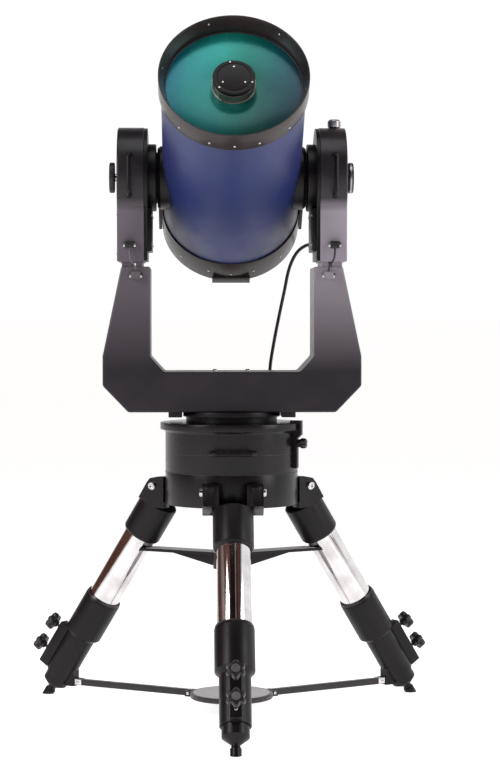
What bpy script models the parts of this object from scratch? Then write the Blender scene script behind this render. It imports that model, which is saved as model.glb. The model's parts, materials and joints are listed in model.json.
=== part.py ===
"""Large Schmidt-Cassegrain telescope on a two-armed fork, drive base and tripod.

Lengths below are in millimetres and are turned into metres when a mesh is made.
The azimuth axis stands at X = 0, Y = AXIS_Y; the front leg points to -Y.
"""
import math

import bmesh
import bpy
from mathutils import Matrix, Vector

MM = 0.001
GAP = 0.3                 # clearance left between pieces that touch
AXIS_Y = 177.57           # azimuth axis behind the middle of the footprint

# facet counts of the round pieces
SEG_BIG = 32
SEG_MID = 20
SEG_LEG = 16
SEG_SMALL = 10

# optical tube
PIVOT_Z = 1681.0          # height of the altitude axis
REST_ELEVATION = 32.0     # tube angle above the horizon, degrees
TUBE_R = 215.0
TUBE_WALL = 3.5
LIP_S = 519.0             # front lip, measured along the tube from the pivot
CELL_BACK_S = 449.0
LIP_R = 223.5
CORRECTOR_S = 457.0
CORRECTOR_R = 206.0
TUBE_REAR_S = -161.0
REAR_R = 219.0
REAR_S = -266.0
SECONDARY_R = 63.0
FOCUS_X = 95.0
FOCUS_Y = -95.0

# fork
ARM_IN = 272.0
ARM_OUT = 355.0
HOUSING_R = 156.0
FORK_Y = 125.0
JOINT_Z = 1401.0
BAR_BOTTOM_Z = 951.0
CABLE_LOW_X = 126.0

# drive base and tripod
DRUM_R = 208.0
FLANGE_R = 224.0
HEAD_BOTTOM_Z = 659.0
HEAD_TOP_Z = 761.2
FLANGE_Z = 894.0
FLANGE_TOP_Z = 916.0
LEG_FOOT_R = 695.0
LEG_TILT = math.degrees(math.atan(0.66))
LEG_ANGLES = (-90.0, 30.0, 150.0)
HINGE_R = 235.0
HINGE_Z = 712.0
SPREADER_Z = 505.0
LUG_OUTLINE = [
    (184.0, 642.0), (242.0, 642.0), (288.0, 674.0), (258.0, 722.0), (246.0, 736.0), (214.0, 742.0), (184.0, 742.0),
]


def clear_scene():
    """Start from an empty scene."""
    for obj in list(bpy.data.objects):
        bpy.data.objects.remove(obj, do_unlink=True)


def make_material(name, colour, metallic, roughness):
    """One named surface finish."""
    mat = bpy.data.materials.new(name)
    mat.use_nodes = True
    shader = mat.node_tree.nodes["Principled BSDF"]
    shader.inputs["Base Color"].default_value = (*colour, 1.0)
    shader.inputs["Metallic"].default_value = metallic
    shader.inputs["Roughness"].default_value = roughness
    mat.diffuse_color = (*colour, 1.0)
    return mat


def paint_casting(name):
    return make_material(name + "_paint", (0.035, 0.03, 0.035), 0.0, 0.45)


def paint_grey(name):
    return make_material(name + "_paint", (0.25, 0.23, 0.26), 0.0, 0.45)


def paint_blue(name):
    return make_material(name + "_paint", (0.03, 0.05, 0.22), 0.1, 0.35)


def bare_steel(name):
    return make_material(name + "_steel", (0.7, 0.7, 0.72), 1.0, 0.2)


def grey_plastic(name):
    return make_material(name + "_plastic", (0.03, 0.03, 0.03), 0.0, 0.5)


def optic_glass(name):
    return make_material(name + "_glass", (0.05, 0.35, 0.4), 0.3, 0.1)


# --- mesh helpers ---------------------------------------------------------

def object_from(bm, name):
    """Close a bmesh into a named object with outward faces."""
    bmesh.ops.remove_doubles(bm, verts=bm.verts, dist=1e-6)
    bmesh.ops.recalc_face_normals(bm, faces=bm.faces)
    mesh = bpy.data.meshes.new(name)
    bm.to_mesh(mesh)
    bm.free()
    obj = bpy.data.objects.new(name, mesh)
    bpy.context.scene.collection.objects.link(obj)
    return obj


def lathe(name, profile, segments):
    """Turn a closed (radius, height) outline about local Z."""
    bm = bmesh.new()
    points = [bm.verts.new((r * MM, 0.0, z * MM)) for r, z in profile]
    count = len(points)
    edges = []
    for i in range(count):
        j = (i + 1) % count
        on_axis = profile[i][0] == 0.0 and profile[j][0] == 0.0
        if not on_axis:
            edges.append(bm.edges.new((points[i], points[j])))
    bmesh.ops.spin(
        bm, geom=points + edges, cent=(0, 0, 0), axis=(0, 0, 1),
        angle=2 * math.pi, steps=segments, use_merge=True, use_duplicate=False,
    )
    return object_from(bm, name)


def ring(name, r_in, r_out, z0, z1, segments):
    """Plain washer shape."""
    return lathe(name, [(r_in, z0), (r_out, z0), (r_out, z1), (r_in, z1)], segments)


def disc(name, radius, z0, z1, segments):
    """Plain round plate or rod."""
    return lathe(name, [(0.0, z0), (radius, z0), (radius, z1), (0.0, z1)], segments)


def prism(name, outline, low, high, axis):
    """Extrude a flat outline along X, Y or Z.

    The outline is (Y, Z) for X, (X, Z) for Y and (X, Y) for Z.
    """
    bm = bmesh.new()
    placed = []
    for u, v in outline:
        if axis == "X":
            placed.append(bm.verts.new((low * MM, u * MM, v * MM)))
        elif axis == "Y":
            placed.append(bm.verts.new((u * MM, low * MM, v * MM)))
        else:
            placed.append(bm.verts.new((u * MM, v * MM, low * MM)))
    face = bm.faces.new(placed)
    step = (high - low) * MM
    move = {"X": (step, 0, 0), "Y": (0, step, 0), "Z": (0, 0, step)}[axis]
    made = bmesh.ops.extrude_face_region(bm, geom=[face])
    moved = [g for g in made["geom"] if isinstance(g, bmesh.types.BMVert)]
    bmesh.ops.translate(bm, verts=moved, vec=move)
    return object_from(bm, name)


def block(name, x, y, z):
    """Box between three (low, high) pairs."""
    outline = [(x[0], y[0]), (x[1], y[0]), (x[1], y[1]), (x[0], y[1])]
    return prism(name, outline, z[0], z[1], "Z")


def apply_all(obj):
    """Turn the modifiers on an object into its mesh."""
    bpy.context.view_layer.update()
    graph = bpy.context.evaluated_depsgraph_get()
    mesh = bpy.data.meshes.new_from_object(obj.evaluated_get(graph))
    obj.modifiers.clear()
    obj.data = mesh


def combine(obj, tool, how):
    """Boolean an object with a tool and drop the tool."""
    mod = obj.modifiers.new("combine", "BOOLEAN")
    mod.operation = how
    mod.solver = "EXACT"
    mod.object = tool
    tool.hide_render = True
    tool.display_type = "WIRE"
    apply_all(obj)
    bpy.data.objects.remove(tool, do_unlink=True)
    return obj


def add(obj, tool):
    return combine(obj, tool, "UNION")


def cut(obj, tool):
    return combine(obj, tool, "DIFFERENCE")


def soften(obj, width, segments=2):
    """Round the sharp edges of a casting."""
    mod = obj.modifiers.new("soften", "BEVEL")
    mod.width = width * MM
    mod.segments = segments
    mod.limit_method = "ANGLE"
    mod.angle_limit = math.radians(40)
    apply_all(obj)
    return obj


def turn_to(obj, tilt, location):
    """Bake a rotation matrix and a move (in mm) into the mesh."""
    obj.data.transform(Matrix.Translation(Vector(location) * MM) @ tilt.to_4x4())
    return obj


def along_x(obj, location=(0, 0, 0), side=1):
    """Lay a piece made along Z onto the X axis, outward on the given side."""
    tilt = Matrix.Rotation(math.radians(90 * side), 3, "Y")
    return turn_to(obj, tilt, location)


def along_minus_y(obj, location=(0, 0, 0)):
    """Lay a piece made along Z so that it points to the front."""
    return turn_to(obj, Matrix.Rotation(math.radians(90), 3, "X"), location)


def tube_path(name, route, radius, sides=2):
    """Round bar or cord along a smooth route of points."""
    curve = bpy.data.curves.new(name, "CURVE")
    curve.dimensions = "3D"
    curve.bevel_depth = radius * MM
    curve.bevel_resolution = sides
    curve.use_fill_caps = True
    spline = curve.splines.new("POLY")
    spline.points.add(len(route) - 1)
    for point, place in zip(spline.points, route):
        point.co = (place[0] * MM, place[1] * MM, place[2] * MM, 1.0)
    obj = bpy.data.objects.new(name, curve)
    bpy.context.scene.collection.objects.link(obj)
    bpy.context.view_layer.update()
    graph = bpy.context.evaluated_depsgraph_get()
    mesh = bpy.data.meshes.new_from_object(obj.evaluated_get(graph))
    bpy.data.objects.remove(obj, do_unlink=True)
    solid = bpy.data.objects.new(name, mesh)
    bpy.context.scene.collection.objects.link(solid)
    return solid


def bar_route(half, reach, back, bend):
    """Flat U route of a grab handle: (along, out) pairs with round corners."""
    route = [(-half, back)]
    for k in range(5):
        a = math.radians(22.5 * k)
        route.append((-half + bend * (1 - math.cos(a)), reach - bend + bend * math.sin(a)))
    for k in range(4, -1, -1):
        a = math.radians(22.5 * k)
        route.append((half - bend * (1 - math.cos(a)), reach - bend + bend * math.sin(a)))
    route.append((half, back))
    return route


def smooth_route(points, step):
    """Even points about one step apart on a smooth curve through the route points."""
    knots = [Vector(p) for p in points]
    knots = [2 * knots[0] - knots[1]] + knots + [2 * knots[-1] - knots[-2]]
    fine = []
    for i in range(1, len(knots) - 2):
        p0, p1, p2, p3 = knots[i - 1:i + 3]
        for k in range(40):
            t = k / 40.0
            place = 0.5 * (
                2 * p1 + (p2 - p0) * t + (2 * p0 - 5 * p1 + 4 * p2 - p3) * t * t
                + (3 * p1 - p0 - 3 * p2 + p3) * t ** 3
            )
            fine.append(place)
    fine.append(knots[-2])
    total = sum((b - a).length for a, b in zip(fine, fine[1:]))
    count = max(2, round(total / step))
    even = [fine[0]]
    gone = 0.0
    for a, b in zip(fine, fine[1:]):
        span = (b - a).length
        while len(even) < count and gone + span >= total * len(even) / count:
            along = (total * len(even) / count - gone) / span
            even.append(a.lerp(b, along))
        gone += span
    even.append(fine[-1])
    return [tuple(p) for p in even]


def lobed(name, radius, depth, lobes, z0, z1):
    """Star knob body with rounded lobes."""
    outline = []
    count = lobes * 6
    for i in range(count):
        a = 2 * math.pi * i / count
        r = radius - depth * 0.5 * (1 - math.cos(lobes * a))
        outline.append((r * math.cos(a), r * math.sin(a)))
    return prism(name, outline, z0, z1, "Z")


def finish(obj, name, material, origin=(0, 0, 0)):
    """Name a piece, colour it, set its origin and shade it."""
    obj.name = name
    obj.data.name = name
    shift = Vector(origin) * MM
    obj.data.transform(Matrix.Translation(-shift))
    obj.location = obj.location + shift
    obj.location.y += AXIS_Y * MM
    obj.data.materials.clear()
    obj.data.materials.append(material)
    bm = bmesh.new()
    bm.from_mesh(obj.data)
    for face in bm.faces:
        face.smooth = True
    for edge in bm.edges:
        edge.smooth = len(edge.link_faces) == 2 and edge.calc_face_angle(0.0) < math.radians(32)
    bm.to_mesh(obj.data)
    bm.free()
    return obj


def on_tube(obj, name, material, at=(0, 0, 0)):
    """Place a piece made in tube coordinates (Z along the tube, X along the altitude axis)."""
    obj.rotation_euler = (math.radians(90 - REST_ELEVATION), 0, 0)
    turned = Matrix.Rotation(math.radians(90 - REST_ELEVATION), 3, "X") @ Vector(at)
    finish(obj, name, material)
    obj.data.transform(Matrix.Translation(-Vector(at) * MM))
    obj.location = obj.location + (Vector((0, 0, PIVOT_Z)) + turned) * MM
    return obj


def leg_frame(index):
    """Rotation and foot point of one leg; Z runs up the leg and X outward."""
    turn = Matrix.Rotation(math.radians(LEG_ANGLES[index]), 3, "Z")
    lean = Matrix.Rotation(math.radians(-LEG_TILT), 3, "Y")
    foot = turn @ Vector((LEG_FOOT_R, 0, 0))
    return turn @ lean, foot


def to_leg(obj, index):
    """Bake the leg placement into the mesh."""
    tilt, foot = leg_frame(index)
    return turn_to(obj, tilt, foot)


def around(obj, angle):
    """Swing a piece made on the +X side round the azimuth axis."""
    return turn_to(obj, Matrix.Rotation(math.radians(angle), 3, "Z"), (0, 0, 0))


# --- tripod -----------------------------------------------------------------

def make_tripod_head():
    """Round casting with a clevis for each leg and a bore for the draw rod."""
    profile = [
        (9.0, HEAD_TOP_Z - 12), (198.0, HEAD_TOP_Z - 12), (198.0, HEAD_BOTTOM_Z),
        (DRUM_R, HEAD_BOTTOM_Z), (DRUM_R, HEAD_TOP_Z), (9.0, HEAD_TOP_Z),
    ]
    head = lathe("tripod_head", profile, SEG_BIG)
    for angle in LEG_ANGLES:
        for side in (-1, 1):
            y = (56.0, 93.0) if side > 0 else (-93.0, -56.0)
            lug = prism("lug", LUG_OUTLINE, y[0], y[1], "Y")
            add(head, around(soften(lug, 2.0, 1), angle))
    finish(head, "tripod_head", paint_casting("tripod_head"))


def make_leg_head(index):
    """Upper leg casting, hung between the clevis lugs, with a socket for the leg tube."""
    profile = [
        (51.8, 657.0), (58.0, 657.0), (62.0, 664.0), (62.0, 781.0), (59.0, 784.0), (0.0, 784.0),
        (0.0, 725.0), (51.8, 725.0),
    ]
    head = lathe("leg_head", profile, SEG_LEG)
    ear = [(-18.0, 772.0), (26.0, 772.0), (26.0, 860.0), (16.0, 872.0), (-2.0, 872.0), (-18.0, 856.0)]
    for y in ((-55.5, -43.0), (43.0, 55.5)):
        add(head, prism("ear", ear, y[0], y[1], "Y"))
    head = to_leg(head, index)
    cut(head, disc("drum_room", 212.0, 655.0, 800.0, SEG_BIG))
    finish(head, "leg_head_%d" % (index + 1), paint_casting("leg_head"))


def make_leg_tube(index):
    """Polished outer leg tube."""
    tube = ring("leg_tube", 49.0, 51.5, 301.0, 724.0, SEG_LEG)
    tilt, foot = leg_frame(index)
    turn_to(tube, tilt, foot)
    finish(tube, "leg_tube_%d" % (index + 1), bare_steel("leg_tube"))


def make_leg_sleeve(index):
    """Lower leg casting: tube socket, sliding sleeve, clamp rail and spreader bracket."""
    profile = [
        (0.0, 87.0), (47.0, 87.0), (47.0, 244.0), (60.0, 258.0), (60.0, 392.0), (56.0, 401.0), (0.0, 401.0),
    ]
    sleeve = lathe("leg_sleeve", profile, SEG_LEG)
    rail = block("rail", (38.0, 82.0), (-18.0, 18.0), (81.0, 240.0))
    add(sleeve, soften(rail, 4.0, 1))
    to_leg(sleeve, index)
    bracket = block("bracket", (584.0, 622.0), (-17.0, 17.0), (34.0, 86.0))
    add(sleeve, around(bracket, LEG_ANGLES[index]))
    cut(sleeve, to_leg(disc("slide_bore", 42.0, -20.0, 320.0, SEG_LEG), index))
    cut(sleeve, to_leg(disc("tube_bore", 51.8, 300.0, 420.0, SEG_LEG), index))
    for s in (128.0, 214.0):
        hole = disc("hole", 5.6, 52.0, 100.0, SEG_SMALL)
        along_x(hole, (0, 0, s))
        cut(sleeve, to_leg(hole, index))
    finish(sleeve, "leg_sleeve_%d" % (index + 1), paint_casting("leg_sleeve"))


def make_leg_extension(index):
    """Inner leg tube with a tapered neck and a rubber-tipped foot that stands flat."""
    profile = [
        (37.0, 430.0), (37.0, 70.0), (0.0, 60.0), (0.0, -30.0), (17.0, -30.0), (17.0, 20.0),
        (13.0, 25.0), (14.0, 32.0), (41.0, 54.0), (41.0, 430.0),
    ]
    inner = lathe("leg_extension", profile, SEG_LEG)
    to_leg(inner, index)
    cut(inner, block("floor", (-900, 900), (-900, 900), (-80, 0)))
    tilt, foot = leg_frame(index)
    finish(inner, "leg_extension_%d" % (index + 1), grey_plastic("leg_extension"), foot)


def make_leg_knob(index, number, s):
    """Star knob with its clamp screw."""
    knob = lobed("leg_knob", 30.0, 7.0, 6, 105.0, 127.0)
    stem = lathe("stem", [(0.0, 54.0), (5.0, 54.0), (5.0, 90.0), (13.0, 96.0), (13.0, 110.0), (0.0, 110.0)],
                 SEG_SMALL)
    add(knob, stem)
    cap = lathe("cap", [(0.0, 120.0), (14.0, 120.0), (14.0, 129.0), (10.0, 131.0), (0.0, 131.0)], SEG_SMALL)
    add(knob, cap)
    along_x(knob, (0, 0, s))
    tilt, foot = leg_frame(index)
    to_leg(knob, index)
    origin = tilt @ Vector((110.0, 0, s)) + foot
    finish(knob, "leg_knob_%d_%s" % (index + 1, number), grey_plastic("leg_knob"), origin)


def make_spreader_disc():
    """Low round tray with a lug for each spreader bar."""
    tray = lathe("tray", [(0.0, 44.0), (128.0, 44.0), (131.0, 47.0), (131.0, 58.0), (129.0, 60.0), (0.0, 60.0)],
                 SEG_BIG)
    for angle in LEG_ANGLES:
        for y in ((-24.0, -10.5), (10.5, 24.0)):
            lug = block("lug", (118.0, 158.0), y, (38.0, 56.0))
            add(tray, around(lug, angle))
    finish(tray, "spreader_disc", bare_steel("spreader_disc"))


def make_spreader_bar(index):
    """Square bar from the tray to the foot of one leg."""
    bar = block("bar", (133.0, 583.7), (-10.0, 10.0), (38.0, 58.0))
    soften(bar, 1.5, 1)
    cut(bar, disc("tray_room", 131.6, 30.0, 70.0, SEG_BIG))
    around(bar, LEG_ANGLES[index])
    finish(bar, "spreader_bar_%d" % (index + 1), bare_steel("spreader_bar"))


def make_upper_spreader():
    """Three-armed plate with a web under each arm, pressed out against the leg tubes."""
    hub = disc("hub", 58.0, 454.0, SPREADER_Z, SEG_MID)
    for index, angle in enumerate(LEG_ANGLES):
        plate = block("plate", (30.0, 335.0), (-35.0, 35.0), (SPREADER_Z - 9, SPREADER_Z))
        add(hub, around(plate, angle))
        web = prism("web", [(40.0, 454.0), (235.0, 497.5), (40.0, 497.5)], -5.0, 5.0, "Y")
        add(hub, around(web, angle))
    for index in range(3):
        cut(hub, to_leg(disc("tube_room", 51.9, 480.0, 720.0, SEG_LEG), index))
    cut(hub, disc("rod_bore", 8.6, 440.0, 520.0, SEG_SMALL))
    finish(hub, "upper_spreader", bare_steel("upper_spreader"))


def make_draw_rod():
    """Threaded rod that pulls the upper spreader up toward the head."""
    top = HEAD_TOP_Z - 12 - GAP
    profile = [(0.0, 400.0), (8.0, 400.0), (8.0, top - 14), (28.0, top - 14), (28.0, top), (0.0, top)]
    rod = lathe("draw_rod", profile, SEG_SMALL)
    finish(rod, "draw_rod", bare_steel("draw_rod"))


def make_tension_knob():
    """Hand nut under the upper spreader."""
    knob = lobed("tension_knob", 46.0, 9.0, 6, 428.0, 453.7)
    cut(knob, disc("bore", 8.6, 420.0, 460.0, SEG_SMALL))
    finish(knob, "tension_knob", grey_plastic("tension_knob"), (0, 0, 440.0))


# --- drive base ---------------------------------------------------------------

def make_drive_base():
    """Drive housing: open-bottomed drum with a flange and a bearing boss."""
    profile = [
        (200.0, HEAD_TOP_Z + GAP), (DRUM_R, HEAD_TOP_Z + GAP), (DRUM_R, FLANGE_Z), (FLANGE_R, FLANGE_Z),
        (FLANGE_R, FLANGE_TOP_Z), (65.0, FLANGE_TOP_Z), (65.0, 850.0), (78.0, 850.0), (78.0, 900.0),
        (200.0, 900.0),
    ]
    base = lathe("drive_base_housing", profile, SEG_BIG)
    finish(base, "drive_base_housing", paint_casting("drive_base"))


def make_base_handle():
    """Grab handle across the front of the drive base."""
    route = [(along, -out, 828.0) for along, out in bar_route(68.0, 246.0, 190.0, 18.0)]
    handle = tube_path("base_handle", route, 6.5)
    cut(handle, disc("drum", DRUM_R + GAP, 780.0, 880.0, SEG_BIG))
    finish(handle, "base_handle", grey_plastic("base_handle"))


def make_clamp_bracket():
    """Clamp bracket hooked over the edge of the flange."""
    outline = [
        (208.6, 775.0), (221.0, 775.0), (221.0, 868.0), (236.0, 880.0), (236.0, 926.0), (196.0, 926.0),
        (196.0, FLANGE_TOP_Z + GAP), (FLANGE_R + 0.6, FLANGE_TOP_Z + GAP), (FLANGE_R + 0.6, FLANGE_Z - GAP),
        (208.6, FLANGE_Z - GAP),
    ]
    bracket = prism("bracket", outline, -15.0, 15.0, "Y")
    hole = along_x(disc("hole", 5.6, 212.0, 240.0, SEG_SMALL), (0, 0, 853.0))
    cut(bracket, hole)
    around(bracket, -22.0)
    finish(bracket, "azimuth_clamp_bracket", paint_casting("azimuth_clamp"))


def make_clamp_knob():
    """Azimuth clamp knob on the bracket."""
    knob = lobed("azimuth_clamp_knob", 16.0, 2.5, 6, 229.0, 249.0)
    add(knob, disc("stem", 5.0, 213.0, 232.0, SEG_SMALL))
    along_x(knob, (0, 0, 853.0))
    around(knob, -22.0)
    a = math.radians(-22.0)
    finish(knob, "azimuth_clamp_knob", grey_plastic("azimuth_clamp_knob"),
           (235.0 * math.cos(a), 235.0 * math.sin(a), 853.0))


# --- fork -----------------------------------------------------------------------

def make_turntable():
    """Turntable with the azimuth shaft."""
    low = FLANGE_TOP_Z + GAP
    top = BAR_BOTTOM_Z - GAP
    profile = [
        (0.0, 800.0), (40.0, 800.0), (40.0, 849.0), (64.0, 849.0), (64.0, low), (143.0, low),
        (143.0, 934.0), (152.0, 934.0), (152.0, top), (0.0, top),
    ]
    table = lathe("turntable", profile, SEG_BIG)
    finish(table, "turntable", paint_casting("turntable"))


def make_azimuth_wheel():
    """Large worm wheel on the azimuth shaft inside the drive base."""
    wheel = ring("azimuth_wheel", 40.5, 140.0, 812.0, 832.0, SEG_BIG)
    finish(wheel, "azimuth_worm_wheel", bare_steel("azimuth_wheel"))


def connector(x, z, width=34.0):
    """Socket with its plug hood standing on the front face of a casting."""
    body = block("socket", (x - width / 2, x + width / 2), (-FORK_Y - 10.0, -FORK_Y + 5.0), (z - 9.0, z + 9.0))
    hood = block("hood", (x - 14.0, x + 14.0), (-FORK_Y - 28.0, -FORK_Y - 8.0), (z - 11.0, z + 11.0))
    return add(body, soften(hood, 2.0, 1))


def gland(x, y, z, length):
    """Cable gland boss pointing to the rear."""
    boss = disc("gland", 11.0, -length, 6.0, SEG_SMALL)
    return along_minus_y(boss, (x, y, z))


def make_fork_base():
    """U-shaped lower fork casting with pads, spacers, two sockets and a cable gland."""
    half = [
        (321.0, BAR_BOTTOM_Z), (400.0, 1033.0), (400.0, 1124.0), (342.0, JOINT_Z), (253.0, JOINT_Z),
        (253.0, 1123.0), (210.0, 1076.0),
    ]
    outline = half + [(-x, z) for x, z in reversed(half)]
    fork = prism("fork_base", outline, -FORK_Y, FORK_Y, "Y")
    soften(fork, 5.0, 2)
    for side in (-1, 1):
        x = sorted((155.0 * side, 197.0 * side))
        add(fork, block("pad", x, (-105.0, 105.0), (934.5, BAR_BOTTOM_Z + 3)))
        for low, high in ((277.0, 297.0), (309.0, 340.0)):
            x = sorted((low * side, high * side))
            add(fork, block("spacer", x, (-116.0, 116.0), (JOINT_Z - 6, JOINT_Z + 14.7)))
        add(fork, connector(297.0 * side, 1374.0))
    add(fork, gland(CABLE_LOW_X, FORK_Y, 1014.0, 26.0))
    finish(fork, "fork_base", paint_casting("fork_base"))


def arm_outline(radius, half, low, count=28):
    """Side outline of an arm: straight column under a round bearing housing."""
    start = math.degrees(math.asin(half / radius))
    points = [(half, low)]
    for k in range(count + 1):
        a = math.radians(-90 + start + (360 - 2 * start) * k / count)
        points.append((radius * math.cos(a), PIVOT_Z + radius * math.sin(a)))
    points.append((-half, low))
    return points


def make_arm(name, side):
    """Upper fork arm: hollow casting, open toward the tube."""
    x = sorted((ARM_IN * side, ARM_OUT * side))
    low = JOINT_Z + 15.0
    arm = prism(name, arm_outline(HOUSING_R, FORK_Y, low), x[0], x[1], "X")
    soften(arm, 5.0, 2)
    room = sorted(((ARM_IN - 5) * side, (ARM_OUT - 9) * side))
    cut(arm, prism("room", arm_outline(HOUSING_R - 10, FORK_Y - 10, low + 10), room[0], room[1], "X"))
    bore = disc("bore", 13.0, 330.0, 370.0, SEG_MID)
    cut(arm, along_x(bore, (0, 0, PIVOT_Z), side))
    add(arm, connector(316.0 * side, 1468.0))
    if side > 0:
        add(arm, gland(300.0, FORK_Y, 1470.0, 26.0))
        top = PIVOT_Z + HOUSING_R
        boss = lathe("boss", [(5.6, -8.0), (15.0, -8.0), (15.0, 1.5), (5.6, 1.5)], SEG_MID)
        add(arm, turn_to(boss, Matrix.Identity(3), (322.0, 0, top)))
        cut(arm, turn_to(disc("bore", 5.0, -7.0, 5.0, SEG_SMALL), Matrix.Identity(3), (322.0, 0, top)))
    finish(arm, name, paint_grey(name))


def make_arm_cover(name, side):
    """Inner cover of an arm with its raised strip and the round bearing hub."""
    x = sorted((261.0 * side, (ARM_IN - GAP) * side))
    cover = prism(name, arm_outline(HOUSING_R - 2, FORK_Y - 2, JOINT_Z + 17), x[0], x[1], "X")
    x = sorted((248.0 * side, 266.0 * side))
    add(cover, block("strip", x, (-112.0, 112.0), (1449.0, 1581.0)))
    hub = disc("hub", 105.0, 235.0, 266.0, SEG_BIG)
    add(cover, along_x(hub, (0, 0, PIVOT_Z), side))
    bore = disc("bore", 31.0, 225.0, 280.0, SEG_MID)
    cut(cover, along_x(bore, (0, 0, PIVOT_Z), side))
    finish(cover, name, paint_casting(name))


def make_arm_handle(name, side):
    """Vertical grab handle on the front of a bearing housing."""
    x = 317.0 * side
    route = [(x, -out, PIVOT_Z + along) for along, out in bar_route(62.0, 196.0, 135.0, 16.0)]
    handle = tube_path(name, route, 6.5)
    housing = prism("housing", arm_outline(HOUSING_R + GAP, FORK_Y, 1500.0), x - 30.0, x + 30.0, "X")
    cut(handle, housing)
    finish(handle, name, bare_steel(name))


def make_altitude_wheel(name, side):
    """Hand wheel on its own spindle in the outer wall of an arm."""
    profile = [
        (0.0, 338.0), (12.0, 338.0), (12.0, 365.0), (44.0, 365.0), (47.0, 368.0), (47.0, 379.0),
        (44.0, 382.0), (0.0, 382.0),
    ]
    wheel = lathe(name, profile, SEG_MID)
    along_x(wheel, (0, 0, PIVOT_Z), side)
    finish(wheel, name, grey_plastic(name), (370.0 * side, 0, PIVOT_Z))


def make_slow_motion_knob():
    """Manual slow-motion knob on top of the right housing."""
    top = PIVOT_Z + HOUSING_R + 1.5 + GAP
    profile = [
        (0.0, top - 7), (4.0, top - 7), (4.0, top), (20.0, top), (20.0, top + 20), (17.0, top + 23), (0.0, top + 23),
    ]
    knob = lathe("slow_motion_knob", profile, SEG_MID)
    turn_to(knob, Matrix.Identity(3), (322.0, 0, 0))
    finish(knob, "slow_motion_knob", bare_steel("slow_motion_knob"), (322.0, 0, top + 10))


def make_jumper_lead(name, side):
    """Short lead from the arm plug down to the fork plug."""
    y = -FORK_Y - 18.0
    top = (316.0 * side, y, 1468.0 - 11.0 - GAP)
    low = (297.0 * side, y, 1374.0 + 11.0 + GAP)
    route = [
        top, (316.0 * side, y - 1, 1446.0), (313.0 * side, y - 4, 1425.0), (303.0 * side, y - 4, 1408.0),
        (297.5 * side, y - 1, 1396.0), low,
    ]
    lead = tube_path(name, smooth_route(route, 9.0), 3.0)
    finish(lead, name, grey_plastic(name))


def cable_route():
    """Hanging cable behind the tube, from the gland on the arm to the gland on the fork base."""
    start = FORK_Y + 26.0 + 2 * GAP
    return [
        (300.0, start, 1470.0), (300.0, start + 14, 1470.0), (300.0, start + 28, 1470.0),
        (284.0, start + 78, 1480.0), (252.0, start + 118, 1480.0), (219.0, start + 136, 1456.0),
        (194.0, start + 138, 1404.0), (178.0, start + 137, 1330.0), (161.0, start + 134, 1250.0),
        (145.0, start + 126, 1170.0), (132.0, start + 106, 1096.0), (127.0, start + 72, 1040.0),
        (CABLE_LOW_X, start + 28, 1014.0), (CABLE_LOW_X, start + 14, 1014.0), (CABLE_LOW_X, start, 1014.0),
    ]


def make_fork_cable():
    """Round cable from the right arm to the fork base."""
    cable = tube_path("fork_cable", smooth_route(cable_route(), 14.0), 5.5)
    finish(cable, "fork_cable", grey_plastic("fork_cable"))


# --- optical tube assembly ---------------------------------------------------------

def make_optical_tube():
    """Rolled tube."""
    tube = ring("optical_tube", TUBE_R - TUBE_WALL, TUBE_R, TUBE_REAR_S, 451.0, SEG_BIG)
    on_tube(tube, "optical_tube", paint_blue("optical_tube"))


def make_front_cell():
    """Front cell with a conical mouth and a seat for the corrector."""
    profile = [
        (TUBE_R + GAP, CELL_BACK_S), (LIP_R, CELL_BACK_S), (LIP_R, LIP_S - 2), (LIP_R - 2, LIP_S),
        (LIP_R - 4, LIP_S), (CORRECTOR_R + GAP, 480.0), (CORRECTOR_R + GAP, CORRECTOR_S - GAP),
        (198.0, CORRECTOR_S - GAP), (198.0, 451.0 + GAP), (TUBE_R + GAP, 451.0 + GAP),
    ]
    cell = lathe("front_cell", profile, SEG_BIG)
    on_tube(cell, "front_cell", paint_casting("front_cell"))


def make_corrector_plate():
    """Thin glass plate with a hole for the secondary housing."""
    plate = ring("corrector_plate", 59.0, CORRECTOR_R, CORRECTOR_S, CORRECTOR_S + 5, SEG_BIG)
    on_tube(plate, "corrector_plate", optic_glass("corrector"))


def make_corrector_retainer():
    """Flat ring that holds the corrector in its seat."""
    low = CORRECTOR_S + 5 + GAP
    retainer = ring("corrector_retainer", 201.0, CORRECTOR_R, low, low + 4, SEG_BIG)
    on_tube(retainer, "corrector_retainer", grey_plastic("retainer"))


def make_secondary_housing():
    """Secondary holder clamped in the hole of the corrector."""
    low = CORRECTOR_S + 5 + GAP
    profile = [
        (54.0, 434.0), (58.4, 434.0), (58.4, low), (SECONDARY_R + 2, low), (SECONDARY_R + 2, low + 4),
        (SECONDARY_R, low + 4), (SECONDARY_R, 492.0), (0.0, 492.0), (0.0, 480.0), (54.0, 480.0),
    ]
    housing = lathe("secondary_housing", profile, SEG_MID)
    on_tube(housing, "secondary_housing", grey_plastic("secondary_housing"))


def make_secondary_cap():
    """Stepped cover that carries the collimation screws."""
    profile = [
        (0.0, 492.0 + GAP), (SECONDARY_R, 492.0 + GAP), (SECONDARY_R, 505.0), (61.0, 507.0), (50.5, 507.0),
        (50.5, 504.8), (48.5, 504.8), (48.5, 508.0), (0.0, 508.0),
    ]
    cap = lathe("secondary_cap", profile, SEG_MID)
    on_tube(cap, "secondary_cap", grey_plastic("secondary_cap"))


def make_secondary_mirror():
    """Convex secondary mirror on its backing disc."""
    profile = [(0.0, 430.0), (30.0, 431.5), (53.0, 436.0), (53.0, 479.5), (0.0, 479.5)]
    mirror = lathe("secondary_mirror", profile, SEG_MID)
    on_tube(mirror, "secondary_mirror", bare_steel("secondary_mirror"))


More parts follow.
